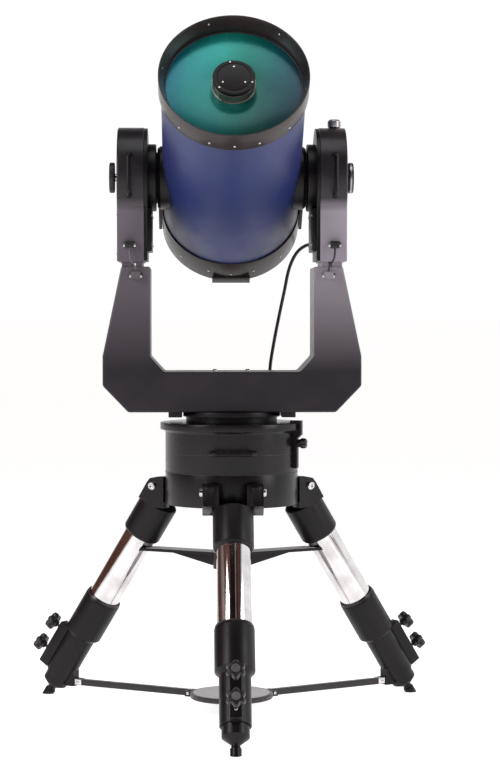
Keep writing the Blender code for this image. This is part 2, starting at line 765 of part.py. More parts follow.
def make_rear_cell():
    """Rear cell with a bore for the baffle and one for the focus screw."""
    low = REAR_S
    profile = [
        (32.0, low), (208.0, low), (REAR_R, low + 11), (REAR_R, TUBE_REAR_S - GAP),
        (211.0, TUBE_REAR_S - GAP), (211.0, low + 9), (32.0, low + 9),
    ]
    cell = lathe("rear_cell", profile, SEG_BIG)
    foot = block("foot", (-60.0, 60.0), (-REAR_R - 4.0, -REAR_R + 12.0), (low + 5, low + 36))
    room = disc("room", 215.0, low, low + 80, SEG_BIG)
    cut(foot, room)
    add(cell, foot)
    hole = disc("hole", 7.0, low - 5, low + 20, SEG_SMALL)
    cut(cell, turn_to(hole, Matrix.Identity(3), (FOCUS_X, FOCUS_Y, 0)))
    on_tube(cell, "rear_cell", paint_casting("rear_cell"))


def make_baffle_tube():
    """Central baffle on which the primary mirror slides."""
    low = REAR_S + 9 + GAP
    profile = [
        (26.0, low - 9), (31.0, low - 9), (31.0, low), (44.0, low), (44.0, low + 6), (30.0, low + 6),
        (30.0, 60.0), (26.0, 60.0),
    ]
    baffle = lathe("baffle_tube", profile, SEG_MID)
    on_tube(baffle, "baffle_tube", grey_plastic("baffle_tube"))


def make_visual_back():
    """Threaded rear port, the seat for eyepiece or camera gear."""
    high = REAR_S - GAP
    profile = [
        (26.0, high - 34), (41.0, high - 34), (41.0, high - 16), (50.0, high - 14), (50.0, high), (26.0, high),
    ]
    port = lathe("visual_back", profile, SEG_MID)
    on_tube(port, "visual_back", bare_steel("visual_back"))


def make_primary_mirror():
    """Concave primary mirror with a central hole."""
    profile = [(32.5, -238.0), (203.0, -238.0), (203.0, -203.0), (120.0, -211.0), (32.5, -214.0)]
    mirror = lathe("primary_mirror", profile, SEG_BIG)
    on_tube(mirror, "primary_mirror", bare_steel("primary_mirror"))


def make_focus_knob():
    """Focus knob and its screw in the rear cell."""
    low = REAR_S
    knob = lobed("focus_knob", 17.0, 2.0, 8, low - 30, low - 6)
    add(knob, disc("screw", 6.0, low - 8, low + 18, SEG_SMALL))
    turn_to(knob, Matrix.Identity(3), (FOCUS_X, FOCUS_Y, 0))
    on_tube(knob, "focus_knob", grey_plastic("focus_knob"), (FOCUS_X, FOCUS_Y, low - 18))


def make_saddle(name, side):
    """Side saddle: curved pad on the tube, rear bar and the altitude shaft."""
    profile = [
        (0.0, 170.0), (99.0, 170.0), (99.0, 222.0), (92.0, 231.0), (80.0, 231.0), (80.0, 234.6),
        (30.0, 234.6), (30.0, 334.0), (0.0, 334.0),
    ]
    pad = along_x(lathe(name, profile, SEG_MID), (0, 0, 0), side)
    x = sorted((180.0 * side, 230.0 * side))
    add(pad, block("rear_bar", x, (-19.0, 19.0), (-258.0, -60.0)))
    cut(pad, disc("tube", TUBE_R + GAP, -400.0, 400.0, SEG_BIG))
    cut(pad, disc("cell", REAR_R + GAP, -400.0, TUBE_REAR_S, SEG_BIG))
    on_tube(pad, name, paint_grey(name))


def make_altitude_wheel_gear():
    """Worm wheel on the altitude shaft inside the right arm."""
    wheel = ring("altitude_worm_wheel", 30.6, 112.0, 290.0, 306.0, SEG_MID)
    along_x(wheel)
    on_tube(wheel, "altitude_worm_wheel", bare_steel("altitude_worm_wheel"))


def main():
    clear_scene()
    make_tripod_head()
    for index in range(3):
        make_leg_head(index)
        make_leg_tube(index)
        make_leg_sleeve(index)
        make_leg_extension(index)
        make_leg_knob(index, "low", 128.0)
        make_leg_knob(index, "high", 214.0)
        make_spreader_bar(index)
    make_spreader_disc()
    make_upper_spreader()
    make_draw_rod()
    make_tension_knob()
    make_drive_base()
    make_base_handle()
    make_clamp_bracket()
    make_clamp_knob()
    make_turntable()
    make_azimuth_wheel()
    make_fork_base()
    for name, side in (("left", -1), ("right", 1)):
        make_arm("arm_" + name, side)
        make_arm_cover("arm_cover_" + name, side)
        make_arm_handle("arm_handle_" + name, side)
        make_altitude_wheel("altitude_hand_wheel_" + name, side)
        make_jumper_lead("jumper_lead_" + name, side)
        make_saddle("saddle_" + name, side)
    make_slow_motion_knob()
    make_fork_cable()
    make_altitude_wheel_gear()
    make_optical_tube()
    make_front_cell()
    make_corrector_plate()
    make_corrector_retainer()
    make_secondary_housing()
    make_secondary_cap()
    make_secondary_mirror()
    make_rear_cell()
    make_baffle_tube()
    make_visual_back()
    make_primary_mirror()
    make_focus_knob()


main()
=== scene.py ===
"""Looks of the large Schmidt-Cassegrain telescope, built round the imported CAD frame."""
import json
import math

import bmesh
import bpy
from mathutils import Matrix, Vector


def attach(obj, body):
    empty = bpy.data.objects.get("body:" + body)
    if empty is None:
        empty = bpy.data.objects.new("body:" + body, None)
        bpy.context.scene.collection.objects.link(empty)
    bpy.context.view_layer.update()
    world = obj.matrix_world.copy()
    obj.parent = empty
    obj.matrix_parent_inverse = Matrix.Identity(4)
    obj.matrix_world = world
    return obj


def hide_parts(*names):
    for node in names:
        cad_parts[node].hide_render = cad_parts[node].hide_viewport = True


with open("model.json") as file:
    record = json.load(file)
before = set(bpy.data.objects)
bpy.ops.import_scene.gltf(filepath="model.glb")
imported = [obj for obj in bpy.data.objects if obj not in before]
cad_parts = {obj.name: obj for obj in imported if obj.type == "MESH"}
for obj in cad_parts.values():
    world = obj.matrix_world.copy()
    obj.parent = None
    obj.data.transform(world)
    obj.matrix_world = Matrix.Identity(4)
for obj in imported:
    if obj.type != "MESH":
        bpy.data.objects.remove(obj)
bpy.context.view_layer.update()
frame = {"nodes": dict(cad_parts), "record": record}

MM = 0.001
JOINTS = {joint["name"]: joint for joint in frame["record"]["behaviour"]["joints"]}
PIVOT = Vector(JOINTS["altitude_tilt"]["pos_m"])
AXIS = Vector((0.0, PIVOT.y, 0.0))
REST_TILT = 58.0
LEG_ANGLES = (-90.0, 30.0, 150.0)
LEG_TILT = math.degrees(math.atan(0.66))
LEG_FOOT_R = 695.0
CAMERA_DISTANCE = 6.866
CAMERA_HEIGHT = 1.252
GAP = 0.3
FORK_Y = 125.0
FORK_BAR_TOP = 1076.0
ARM_IN = 272.0
ARM_OUT = 355.0
ARM_LOW = 1416.0
HOUSING_R = 156.0
HUB_R = 105.0
SHAFT_R = 30.0
PLUG_HIGH = (316.0, 1468.0)
PLUG_LOW = (297.0, 1374.0)
TUBE_R = 215.0
TUBE_REAR_S = -161.0
CELL_R = 223.5
MOUTH_S = 519.0
GLASS_R = 206.0
GLASS_S = 457.0
REAR_R = 219.0
REAR_S = -266.0
PORT_R = 26.0
SECONDARY_R = 63.0
DRUM_R = 208.0
DRUM_TOP_Z = 894.0
FLANGE_R = 224.0
FLANGE_TOP_Z = 916.0
HEAD_LOW_Z = 659.0
HEAD_TOP_Z = 761.2
CLAMP_ANGLE = -22.0
CLAMP_Z = 853.0
BASE_HANDLE_Z = 828.0
LEG_TUBE_R = 51.5
SOCKET_R = 51.8
LEG_HEAD_R = 62.0
SLEEVE_R = 60.0
SLIDE_R = 41.0
KNOB_LOW_S = 128.0
KNOB_HIGH_S = 214.0
SPREADER_Z = 505.0
TRAY_Z = 60.0
WHITE = (1, 1, 1, 1)
BROWN = (0.10, 0.045, 0.032, 1)
BLACK = (0.012, 0.008, 0.008, 1)


# --- camera and light --------------------------------------------------------

def make_camera():
    """A long lens at the height of the fork, a little to the left of the object's front."""
    data = bpy.data.cameras.new("camera")
    data.lens = 101.6
    data.sensor_width = 36.0
    data.clip_end = 3000.0
    cam = bpy.data.objects.new("camera", data)
    bpy.context.scene.collection.objects.link(cam)
    side = math.radians(1.0)
    cam.location = (
        -CAMERA_DISTANCE * math.sin(side), AXIS.y - CAMERA_DISTANCE * math.cos(side), CAMERA_HEIGHT,
    )
    pitch = math.radians(90.0 - 1.89)
    cam.rotation_euler = (pitch, 0.0, -side - math.radians(0.485))
    bpy.context.scene.camera = cam


def area_light(name, place, aim, size, power, colour=(1, 1, 1)):
    data = bpy.data.lights.new(name, "AREA")
    data.shape = "RECTANGLE"
    data.size, data.size_y = size
    data.energy = power
    data.color = colour
    lamp = bpy.data.objects.new(name, data)
    bpy.context.scene.collection.objects.link(lamp)
    lamp.location = place
    lamp.rotation_euler = (Vector(aim) - Vector(place)).to_track_quat("-Z", "Y").to_euler()


def fill_ramp(ramp, low, high, stops):
    """Put (value, colour) stops on a colour ramp that spans low to high."""
    elements = ramp.color_ramp.elements
    for element, (value, tone) in zip(elements, (stops[0], stops[-1])):
        element.position = (value - low) / (high - low)
        element.color = tone
    for value, tone in stops[1:-1]:
        elements.new((value - low) / (high - low)).color = tone


def map_range(tree, value, low, high):
    """The value stretched from low..high to 0..1, as a socket."""
    node = tree.nodes.new("ShaderNodeMapRange")
    node.inputs["From Min"].default_value = low
    node.inputs["From Max"].default_value = high
    tree.links.new(value, node.inputs["Value"])
    return node.outputs[0]


def make_world():
    """White studio: dim ceiling, and a dark, warm-brown end behind the camera with one bright slit."""
    world = bpy.data.worlds.new("studio")
    bpy.context.scene.world = world
    world.use_nodes = True
    tree = world.node_tree
    back = tree.nodes["Background"]
    coord = tree.nodes.new("ShaderNodeTexCoord")
    split = tree.nodes.new("ShaderNodeSeparateXYZ")
    tree.links.new(coord.outputs["Generated"], split.inputs[0])
    toward = tree.nodes.new("ShaderNodeMath")
    toward.operation = "MULTIPLY"
    toward.inputs[1].default_value = -1.0
    tree.links.new(split.outputs["Y"], toward.inputs[0])
    turn = tree.nodes.new("ShaderNodeMath")
    turn.operation = "ARCTAN2"
    tree.links.new(split.outputs["X"], turn.inputs[0])
    tree.links.new(toward.outputs[0], turn.inputs[1])
    ramp = tree.nodes.new("ShaderNodeValToRGB")
    tree.links.new(map_range(tree, turn.outputs[0], -math.pi, math.pi), ramp.inputs[0])
    fill_ramp(ramp, -180.0, 180.0, (
        (-180, WHITE), (-150, WHITE), (-138, BROWN), (-62, BROWN), (-50, BLACK), (-14, BLACK),
        (-10, (0.5, 0.48, 0.48, 1)), (-7, BLACK), (24, BLACK), (30, BROWN), (62, (0.06, 0.035, 0.03, 1)),
        (74, (0.5, 0.47, 0.47, 1)), (88, WHITE), (180, WHITE),
    ))
    sky = tree.nodes.new("ShaderNodeMix")
    sky.data_type = "RGBA"
    tree.links.new(map_range(tree, split.outputs["Z"], 0.28, 0.72), sky.inputs["Factor"])
    tree.links.new(ramp.outputs[0], sky.inputs[6])
    bands = tree.nodes.new("ShaderNodeValToRGB")
    tree.links.new(map_range(tree, split.outputs["X"], -1.0, 1.0), bands.inputs[0])
    fill_ramp(bands, -1.0, 1.0, (
        (-1.0, WHITE), (-0.86, (0.55, 0.5, 0.5, 1)), (-0.80, BROWN), (-0.45, (0.13, 0.05, 0.035, 1)),
        (-0.34, BLACK), (0.10, BLACK), (0.16, (0.34, 0.28, 0.27, 1)), (0.22, BLACK), (0.44, BROWN),
        (0.62, (0.05, 0.03, 0.03, 1)), (0.74, WHITE), (1.0, WHITE),
    ))
    tree.links.new(bands.outputs[0], sky.inputs[7])
    tree.links.new(sky.outputs[2], back.inputs["Color"])
    back.inputs["Strength"].default_value = 1.03


def make_studio():
    """World, three soft lights and the pale floor."""
    make_world()
    area_light("key", (-3.4, -2.2, 2.9), (0, 0.1, 1.3), (1.6, 3.0), 110, (1.0, 0.98, 1.0))
    area_light("fill", (3.6, -1.6, 2.2), (0, 0.1, 1.2), (1.4, 2.8), 62, (1.0, 0.98, 1.0))
    area_light("top", (0.0, -0.6, 5.0), (0, 0.2, 1.2), (3.0, 2.0), 40)
    bm = bmesh.new()
    bmesh.ops.create_grid(bm, x_segments=8, y_segments=8, size=900.0)
    mesh = bpy.data.meshes.new("studio_floor")
    bm.to_mesh(mesh)
    bm.free()
    floor = bpy.data.objects.new("studio_floor", mesh)
    bpy.context.scene.collection.objects.link(floor)
    floor.location.z = -0.0005
    floor.data.materials.append(floor_material())


def floor_material():
    mat = bpy.data.materials.new("pale_floor")
    mat.use_nodes = True
    shader = mat.node_tree.nodes["Principled BSDF"]
    shader.inputs["Base Color"].default_value = (0.94, 0.94, 0.94, 1)
    shader.inputs["Roughness"].default_value = 0.9
    shader.inputs["Emission Color"].default_value = (1, 1, 1, 1)
    shader.inputs["Emission Strength"].default_value = 0.78
    return mat


# --- materials ------------------------------------------------------------------

def linear(r, g, b):
    """Linear colour from 0-255 screen values."""
    out = []
    for v in (r, g, b):
        v = v / 255.0
        out.append(v / 12.92 if v <= 0.04045 else ((v + 0.055) / 1.055) ** 2.4)
    return (*out, 1.0)


class Surface:
    """Builds one node material, step by step."""

    def __init__(self, name):
        self.mat = bpy.data.materials.new(name)
        self.mat.use_nodes = True
        self.tree = self.mat.node_tree
        self.shader = self.tree.nodes["Principled BSDF"]
        self.coord = self.add("ShaderNodeTexCoord").outputs["Object"]

    def add(self, kind, **values):
        node = self.tree.nodes.new(kind)
        for key, value in values.items():
            setattr(node, key, value)
        return node

    def link(self, a, b):
        self.tree.links.new(a, b)

    def noise(self, scale, detail=4.0, stretch=(1, 1, 1)):
        place = self.add("ShaderNodeMapping")
        place.inputs["Scale"].default_value = stretch
        self.link(self.coord, place.inputs["Vector"])
        node = self.add("ShaderNodeTexNoise")
        node.inputs["Scale"].default_value = scale
        node.inputs["Detail"].default_value = detail
        self.link(place.outputs[0], node.inputs["Vector"])
        return node.outputs["Fac"]

    def spread(self, value, low, high, to_low, to_high):
        node = self.add("ShaderNodeMapRange")
        node.inputs["From Min"].default_value = low
        node.inputs["From Max"].default_value = high
        node.inputs["To Min"].default_value = to_low
        node.inputs["To Max"].default_value = to_high
        self.link(value, node.inputs["Value"])
        return node.outputs[0]

    def times(self, a, b):
        node = self.add("ShaderNodeMath", operation="MULTIPLY")
        self.link(a, node.inputs[0])
        self.link(b, node.inputs[1])
        return node.outputs[0]

    def mix(self, factor, a, b):
        node = self.add("ShaderNodeMix", data_type="RGBA")
        self.link(factor, node.inputs["Factor"])
        for socket, value in ((node.inputs[6], a), (node.inputs[7], b)):
            if isinstance(value, tuple):
                socket.default_value = value
            else:
                self.link(value, socket)
        return node.outputs[2]

    def edges(self, radius, floor=0.0):
        """1 on convex and concave edges, broken up by noise."""
        bevel = self.add("ShaderNodeBevel", samples=4)
        bevel.inputs["Radius"].default_value = radius
        flat = self.add("ShaderNodeNewGeometry")
        dot = self.add("ShaderNodeVectorMath", operation="DOT_PRODUCT")
        self.link(bevel.outputs[0], dot.inputs[0])
        self.link(flat.outputs["Normal"], dot.inputs[1])
        edge = self.spread(dot.outputs["Value"], 0.995, 0.93, 0.0, 1.0)
        worn = self.spread(self.noise(55.0, 6.0), 0.42, 0.62, floor, 1.0)
        return self.times(edge, worn)

    def bump(self, height, strength, distance):
        node = self.add("ShaderNodeBump")
        node.inputs["Strength"].default_value = strength
        node.inputs["Distance"].default_value = distance
        self.link(height, node.inputs["Height"])
        self.link(node.outputs[0], self.shader.inputs["Normal"])

    def set(self, **values):
        for key, value in values.items():
            self.shader.inputs[key.replace("_", " ")].default_value = value


def powder_coat(name, dark, light, rough=0.42, grain=900.0, depth=0.12, wear=0.14, coat=0.0, painted_light_fade=None):
    """Powder-coated casting: fine orange peel, cloudy colour, edges rubbed lighter.

    The last argument, if given, is (low z, high z, left colour, right colour): painted light, the coat
    turns to a lit tone from the first height to the second, one tone left of the axis and one right of it,
    standing in for how the light falls on each side.
    """
    s = Surface(name)
    cloud = s.spread(s.noise(7.0, 5.0), 0.35, 0.65, 0.0, 1.0)
    body = s.mix(cloud, dark, light)
    # painted light: lit tones mixed in by side and height, in place of the studio light falling unevenly
    if painted_light_fade:
        split = s.add("ShaderNodeSeparateXYZ")
        s.link(s.coord, split.inputs[0])
        pale = s.mix(s.spread(split.outputs["X"], -0.05, 0.05, 0.0, 1.0), painted_light_fade[2], painted_light_fade[3])
        body = s.mix(s.spread(split.outputs["Z"], painted_light_fade[0], painted_light_fade[1], 0.0, 1.0), body, pale)
    speck = s.spread(s.noise(420.0, 2.0), 0.64, 0.74, 0.0, 0.12)
    body = s.mix(speck, body, tuple(min(1.0, c * 3.0) for c in light[:3]) + (1.0,))
    edge = s.spread(s.edges(0.0014, 0.35), 0.0, 1.0, 0.0, wear)
    colour = s.mix(edge, body, linear(150, 146, 150))
    s.link(colour, s.shader.inputs["Base Color"])
    s.link(s.spread(s.noise(24.0, 5.0), 0.3, 0.7, rough - 0.04, rough + 0.05), s.shader.inputs["Roughness"])
    s.bump(s.noise(grain, 2.0), depth, 0.0004)
    s.set(Coat_Weight=coat, Coat_Roughness=0.25, Specular_IOR_Level=0.22)
    return s.mat


def tube_paint(name):
    """Deep blue satin enamel with very fine orange peel and a faint rolled-sheet unevenness."""
    s = Surface(name)
    cloud = s.spread(s.noise(4.0, 3.0), 0.3, 0.7, 0.0, 1.0)
    body = s.mix(cloud, linear(17, 31, 80), linear(23, 39, 95))
    dust = s.spread(s.noise(160.0, 3.0), 0.64, 0.76, 0.0, 0.18)
    body = s.mix(dust, body, linear(80, 88, 150))
    edge = s.spread(s.edges(0.0012), 0.0, 1.0, 0.0, 0.5)
    s.link(s.mix(edge, body, linear(150, 155, 185)), s.shader.inputs["Base Color"])
    s.link(s.spread(s.noise(18.0, 4.0), 0.3, 0.7, 0.36, 0.46), s.shader.inputs["Roughness"])
    s.bump(s.noise(700.0, 2.0), 0.1, 0.0005)
    s.set(Sheen_Weight=0.04, Sheen_Roughness=0.5, Coat_Weight=0.1, Coat_Roughness=0.4)
    s.shader.inputs["Sheen Tint"].default_value = linear(200, 195, 240)
    return s.mat


def bright_metal(name, tint=(205, 203, 206), rough=0.14, brush=(1, 1, 1), wear=0.2):
    """Plated or machined metal with fine brush lines and smudges."""
    s = Surface(name)
    smudge = s.spread(s.noise(14.0, 5.0), 0.35, 0.7, 0.0, 1.0)
    body = s.mix(smudge, linear(*tint), linear(*(int(c * 0.86) for c in tint)))
    edge = s.spread(s.edges(0.001), 0.0, 1.0, 0.0, wear)
    s.link(s.mix(edge, body, linear(240, 240, 240)), s.shader.inputs["Base Color"])
    s.link(s.spread(s.noise(40.0, 6.0, brush), 0.3, 0.7, rough * 0.6, rough * 1.5),
           s.shader.inputs["Roughness"])
    s.bump(s.noise(260.0, 3.0, brush), 0.04, 0.0004)
    s.set(Metallic=1.0)
    return s.mat


def moulded_plastic(name, dark, light, rough=0.45):
    """Moulded plastic or rubber with a fine spark-eroded grain."""
    s = Surface(name)
    cloud = s.spread(s.noise(30.0, 4.0), 0.35, 0.65, 0.0, 1.0)
    body = s.mix(cloud, dark, light)
    edge = s.spread(s.edges(0.0012, 0.3), 0.0, 1.0, 0.0, 0.3)
    s.link(s.mix(edge, body, linear(120, 118, 120)), s.shader.inputs["Base Color"])
    s.link(s.spread(s.noise(60.0, 4.0), 0.3, 0.7, rough - 0.08, rough + 0.1), s.shader.inputs["Roughness"])
    s.bump(s.noise(1400.0, 2.0), 0.22, 0.0004)
    return s.mat


def coated_glass(name):
    """Coated corrector: the coating's teal-to-blue tint with a painted reflection, bright teal toward one
    side and over the upper half of the plate, deep blue at the other side and below.
    """
    s = Surface(name)
    place = s.add("ShaderNodeMapping", vector_type="TEXTURE")
    place.inputs["Location"].default_value = PIVOT
    place.inputs["Rotation"].default_value = (math.radians(REST_TILT), 0, 0)
    s.link(s.coord, place.inputs["Vector"])
    split = s.add("ShaderNodeSeparateXYZ")
    s.link(place.outputs[0], split.inputs[0])
    soft = s.spread(s.noise(5.0, 2.0), 0.3, 0.7, -0.025, 0.025)
    shifted = s.add("ShaderNodeMath", operation="ADD")
    s.link(split.outputs["X"], shifted.inputs[0])
    s.link(soft, shifted.inputs[1])
    across = s.spread(shifted.outputs[0], -0.206, 0.206, 0.0, 1.0)
    # painted reflection: the upper ramp is the lit half of the plate, the lower ramp the shaded half, both
    # darkening across it
    upper = s.add("ShaderNodeValToRGB")
    lower = s.add("ShaderNodeValToRGB")
    for ramp, stops in (
        (upper, ((0.0, (15, 111, 135)), (0.2, (25, 135, 133)), (0.42, (27, 143, 133)),
                 (0.6, (14, 119, 108)),
                 (0.8, (11, 90, 99)), (1.0, (6, 57, 77)))),
        (lower, ((0.0, (12, 94, 135)), (0.2, (15, 110, 113)), (0.42, (9, 88, 83)), (0.6, (7, 68, 62)),
                 (0.8, (6, 49, 50)), (1.0, (6, 32, 53)))),
    ):
        fill_ramp(ramp, 0.0, 1.0, [(spot, linear(*tone)) for spot, tone in stops])
        s.link(across, ramp.inputs[0])
    height = s.spread(split.outputs["Y"], -0.17, 0.13, 0.0, 1.0)
    s.link(s.mix(height, lower.outputs[0], upper.outputs[0]), s.shader.inputs["Base Color"])
    s.link(s.spread(s.noise(90.0, 4.0), 0.3, 0.7, 0.20, 0.28), s.shader.inputs["Roughness"])
    s.bump(s.noise(30.0, 2.0), 0.02, 0.0004)
    s.set(Metallic=0.4, Coat_Weight=0.15, Coat_Roughness=0.1, Specular_IOR_Level=0.3)
    return s.mat


def mirror_coat(name):
    s = Surface(name)
    smudge = s.spread(s.noise(12.0, 3.0), 0.35, 0.7, 0.0, 1.0)
    s.link(s.mix(smudge, linear(238, 240, 242), linear(225, 228, 232)), s.shader.inputs["Base Color"])
    s.link(s.spread(s.noise(50.0, 4.0), 0.3, 0.7, 0.02, 0.06), s.shader.inputs["Roughness"])
    s.bump(s.noise(20.0, 2.0), 0.01, 0.0003)
    s.set(Metallic=1.0)
    return s.mat


MATS = {}


def make_materials():
    MATS["casting"] = powder_coat("casting_black", linear(16, 13, 16), linear(23, 20, 23), 0.36)
    MATS["drum"] = powder_coat("drum_black", linear(15, 12, 14), linear(20, 17, 19), 0.27, depth=0.01,
                               wear=0.08, coat=0.12)
    # painted light: above the bar the fork turns to lit tones, the right upright lighter than the left
    MATS["fork"] = powder_coat("fork_charcoal_painted_light", linear(36, 33, 37), linear(44, 40, 45), 0.40,
                               painted_light_fade=(1.08, 1.42, linear(96, 89, 96), linear(142, 135, 142)))
    # painted light and shade: one arm paint in two copies, the left darker as painted shade, the right
    # lighter as painted light; each turns to a lighter tone on the lower column
    MATS["arm_l"] = powder_coat("arm_paint_painted_shade", linear(30, 28, 31), linear(38, 35, 39), 0.36, coat=0.15,
                                painted_light_fade=(1.61, 1.57, linear(92, 86, 94), linear(92, 86, 94)))
    MATS["arm_r"] = powder_coat("arm_paint_painted_light", linear(34, 31, 35), linear(44, 40, 46), 0.34, coat=0.2,
                                painted_light_fade=(1.61, 1.57, linear(146, 138, 149), linear(146, 138, 149)))
    MATS["cell"] = powder_coat("cell_bronze_black", linear(34, 28, 28), linear(42, 34, 34), 0.30, 900.0,
                               0.05, 0.3, 0.35)
    MATS["tray"] = powder_coat("tray_top", linear(196, 196, 198), linear(212, 212, 214), 0.5)
    MATS["blue"] = tube_paint("tube_blue")
    MATS["chrome"] = bright_metal("leg_chrome", (232, 229, 229), 0.08, (1, 1, 14), 0.2)
    MATS["steel"] = bright_metal("screw_steel", (228, 226, 226), 0.16)
    MATS["satin"] = bright_metal("satin_aluminium", (190, 188, 190), 0.34, (16, 1, 1), 0.4)
    MATS["darkmetal"] = bright_metal("brown_anodised", (176, 160, 152), 0.34, (1, 1, 8), 0.4)
    MATS["plastic"] = moulded_plastic("knob_plastic", linear(24, 22, 24), linear(34, 31, 34), 0.38)
    MATS["cord"] = moulded_plastic("cable_jacket", linear(26, 24, 26), linear(36, 34, 36), 0.4)
    MATS["greycord"] = moulded_plastic("lead_jacket", linear(70, 68, 70), linear(96, 94, 96), 0.45)
    MATS["glass"] = coated_glass("corrector_coating_painted_reflection")
    MATS["mirror"] = mirror_coat("mirror_coating")


# --- mesh helpers ----------------------------------------------------------------

def solid(bm, name, mat, matrix=None, crease=35.0):
    """Finish a bmesh as a smooth-shaded piece in world coordinates."""
    bmesh.ops.remove_doubles(bm, verts=bm.verts, dist=1e-6)
    bmesh.ops.recalc_face_normals(bm, faces=bm.faces)
    for face in bm.faces:
        face.smooth = True
    for edge in bm.edges:
        edge.smooth = len(edge.link_faces) == 2 and edge.calc_face_angle(0.0) < math.radians(crease)
    mesh = bpy.data.meshes.new(name)
    if matrix is not None:
        bm.transform(matrix)
    bm.to_mesh(mesh)
    bm.free()
    obj = bpy.data.objects.new(name, mesh)
    bpy.context.scene.collection.objects.link(obj)
    obj.data.materials.append(MATS[mat])
    return obj


def rounded(profile, radius, closed=True, steps=3):
    """Round the corners of an outline of (a, b) pairs."""
    out = []
    count = len(profile)
    for i, corner in enumerate(profile):
        here = Vector(corner)
        if here.x == 0.0 or (not closed and i in (0, count - 1)):
            out.append(tuple(here))
            continue
        before = Vector(profile[i - 1]) - here
        after = Vector(profile[(i + 1) % count]) - here
        a = here + before.normalized() * min(radius, before.length * 0.45)
        b = here + after.normalized() * min(radius, after.length * 0.45)
        for k in range(steps + 1):
            t = k / steps
            out.append(tuple(a * (1 - t) ** 2 + here * 2 * t * (1 - t) + b * t * t))
    return out


def lathe_mesh(bm, profile, segments, matrix=None):
    """Turn a closed (radius, height) outline in millimetres about Z, into a bmesh."""
    rings = []
    made = []
    for r, z in profile:
        if r == 0.0:
            ring = [bm.verts.new((0, 0, z * MM))]
        else:
            ring = [
                bm.verts.new((r * math.cos(2 * math.pi * k / segments) * MM,
                              r * math.sin(2 * math.pi * k / segments) * MM, z * MM))
                for k in range(segments)
            ]
        rings.append(ring)
        made += ring
    count = len(rings)
    for i in range(count):
        a, b = rings[i], rings[(i + 1) % count]
        if len(a) == 1 and len(b) == 1:
            continue
        for k in range(segments):
            n = (k + 1) % segments
            quad = [a[k % len(a)], a[n % len(a)], b[n % len(b)], b[k % len(b)]]
            corners = []
            for vert in quad:
                if vert not in corners:
                    corners.append(vert)
            bm.faces.new(corners)
    if matrix is not None:
        bmesh.ops.transform(bm, matrix=matrix, verts=made)
    return made


def lathe(name, profile, mat, matrix, radius=1.0, segments=96):
    bm = bmesh.new()
    lathe_mesh(bm, rounded(profile, radius), segments)
    return solid(bm, name, mat, matrix)


def box_mesh(bm, x, y, z, matrix=None, bevel=1.0):
    """Bevelled box between (low, high) pairs in millimetres."""
    cube = bmesh.ops.create_cube(bm, size=1.0)["verts"]
    scale = Vector((x[1] - x[0], y[1] - y[0], z[1] - z[0])) * MM
    middle = Vector((x[0] + x[1], y[0] + y[1], z[0] + z[1])) * MM / 2
    for vert in cube:
        vert.co = Vector(a * b for a, b in zip(vert.co, scale)) + middle
    verts = cube
    if bevel:
        edges = list({e for v in cube for e in v.link_edges})
        made = bmesh.ops.bevel(bm, geom=edges, offset=bevel * MM, segments=2, affect="EDGES", profile=0.6)
        verts = list({v for f in made["faces"] for v in f.verts} | {v for v in cube if v.is_valid})
    if matrix is not None:
        bmesh.ops.transform(bm, matrix=matrix, verts=verts)
    return verts


def prism_mesh(bm, loops, matrix=None):
    """Skin a stack of equal loops of points in millimetres and close both ends."""
    rings = [[bm.verts.new(Vector(p) * MM) for p in loop] for loop in loops]
    for a, b in zip(rings, rings[1:]):
        for k in range(len(a)):
            n = (k + 1) % len(a)
            bm.faces.new([a[k], a[n], b[n], b[k]])
    bm.faces.new(rings[0][::-1])
    bm.faces.new(rings[-1])
    if matrix is not None:
        bmesh.ops.transform(bm, matrix=matrix, verts=[v for ring in rings for v in ring])


def arm_loop(x, inset, radius=HOUSING_R, half=FORK_Y, low=ARM_LOW):
    """Side outline of an arm at one distance from the middle: a column under a round housing."""
    pz = PIVOT.z / MM
    radius, half, low = radius - inset, half - inset, low + inset
    start = math.degrees(math.asin(half / radius))
    points = [(x, half, low)]
    for k in range(97):
        a = math.radians(-90 + start + (360 - 2 * start) * k / 96)
        points.append((x, radius * math.cos(a), pz + radius * math.sin(a)))
    points.append((x, -half, low))
    return points


def tilt_to(direction):
    """Rotation that takes +Z to a direction."""
    return Vector(direction).to_track_quat("Z", "Y").to_matrix().to_4x4()


def at(place, direction=(0, 0, 1)):
    """Matrix that puts a piece made along +Z at a world place, in metres."""
    return Matrix.Translation(place) @ tilt_to(direction)


def tube_matrix():
    """Frame of the tube: Z along it to the front, X along the altitude axis."""
    return Matrix.Translation(PIVOT) @ Matrix.Rotation(math.radians(REST_TILT), 4, "X")


def leg_matrix(index):
    """Frame of a leg: Z up the leg from the floor, X outward."""
    turn = Matrix.Rotation(math.radians(LEG_ANGLES[index]), 4, "Z")
    foot = turn @ Vector((LEG_FOOT_R * MM, 0, 0)) + AXIS
    return Matrix.Translation(foot) @ turn @ Matrix.Rotation(math.radians(-LEG_TILT), 4, "Y")


def axis_matrix():
    return Matrix.Translation(AXIS)


def spin_matrix(angle):
    return Matrix.Translation(AXIS) @ Matrix.Rotation(math.radians(angle), 4, "Z")


def side_matrix(side):
    """Frame of the altitude axis, Z outward on one side."""
    return Matrix.Translation(PIVOT) @ Matrix.Rotation(math.radians(90 * side), 4, "Y")


def clamp_matrix():
    """Frame of the azimuth clamp screw, Z outward."""
    outward = Matrix.Rotation(math.radians(90), 4, "Y")
    return spin_matrix(CLAMP_ANGLE) @ Matrix.Translation((0, 0, CLAMP_Z * MM)) @ outward


def swap(obj, body, *nodes):
    """The piece stands for CAD nodes and rides on their body."""
    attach(obj, body)
    if nodes:
        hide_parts(*nodes)
    return obj


def trim(obj, body):
    """The piece is a detail of a CAD node: it rides on the body, and the node stays shown."""
    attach(obj, body)
    return obj


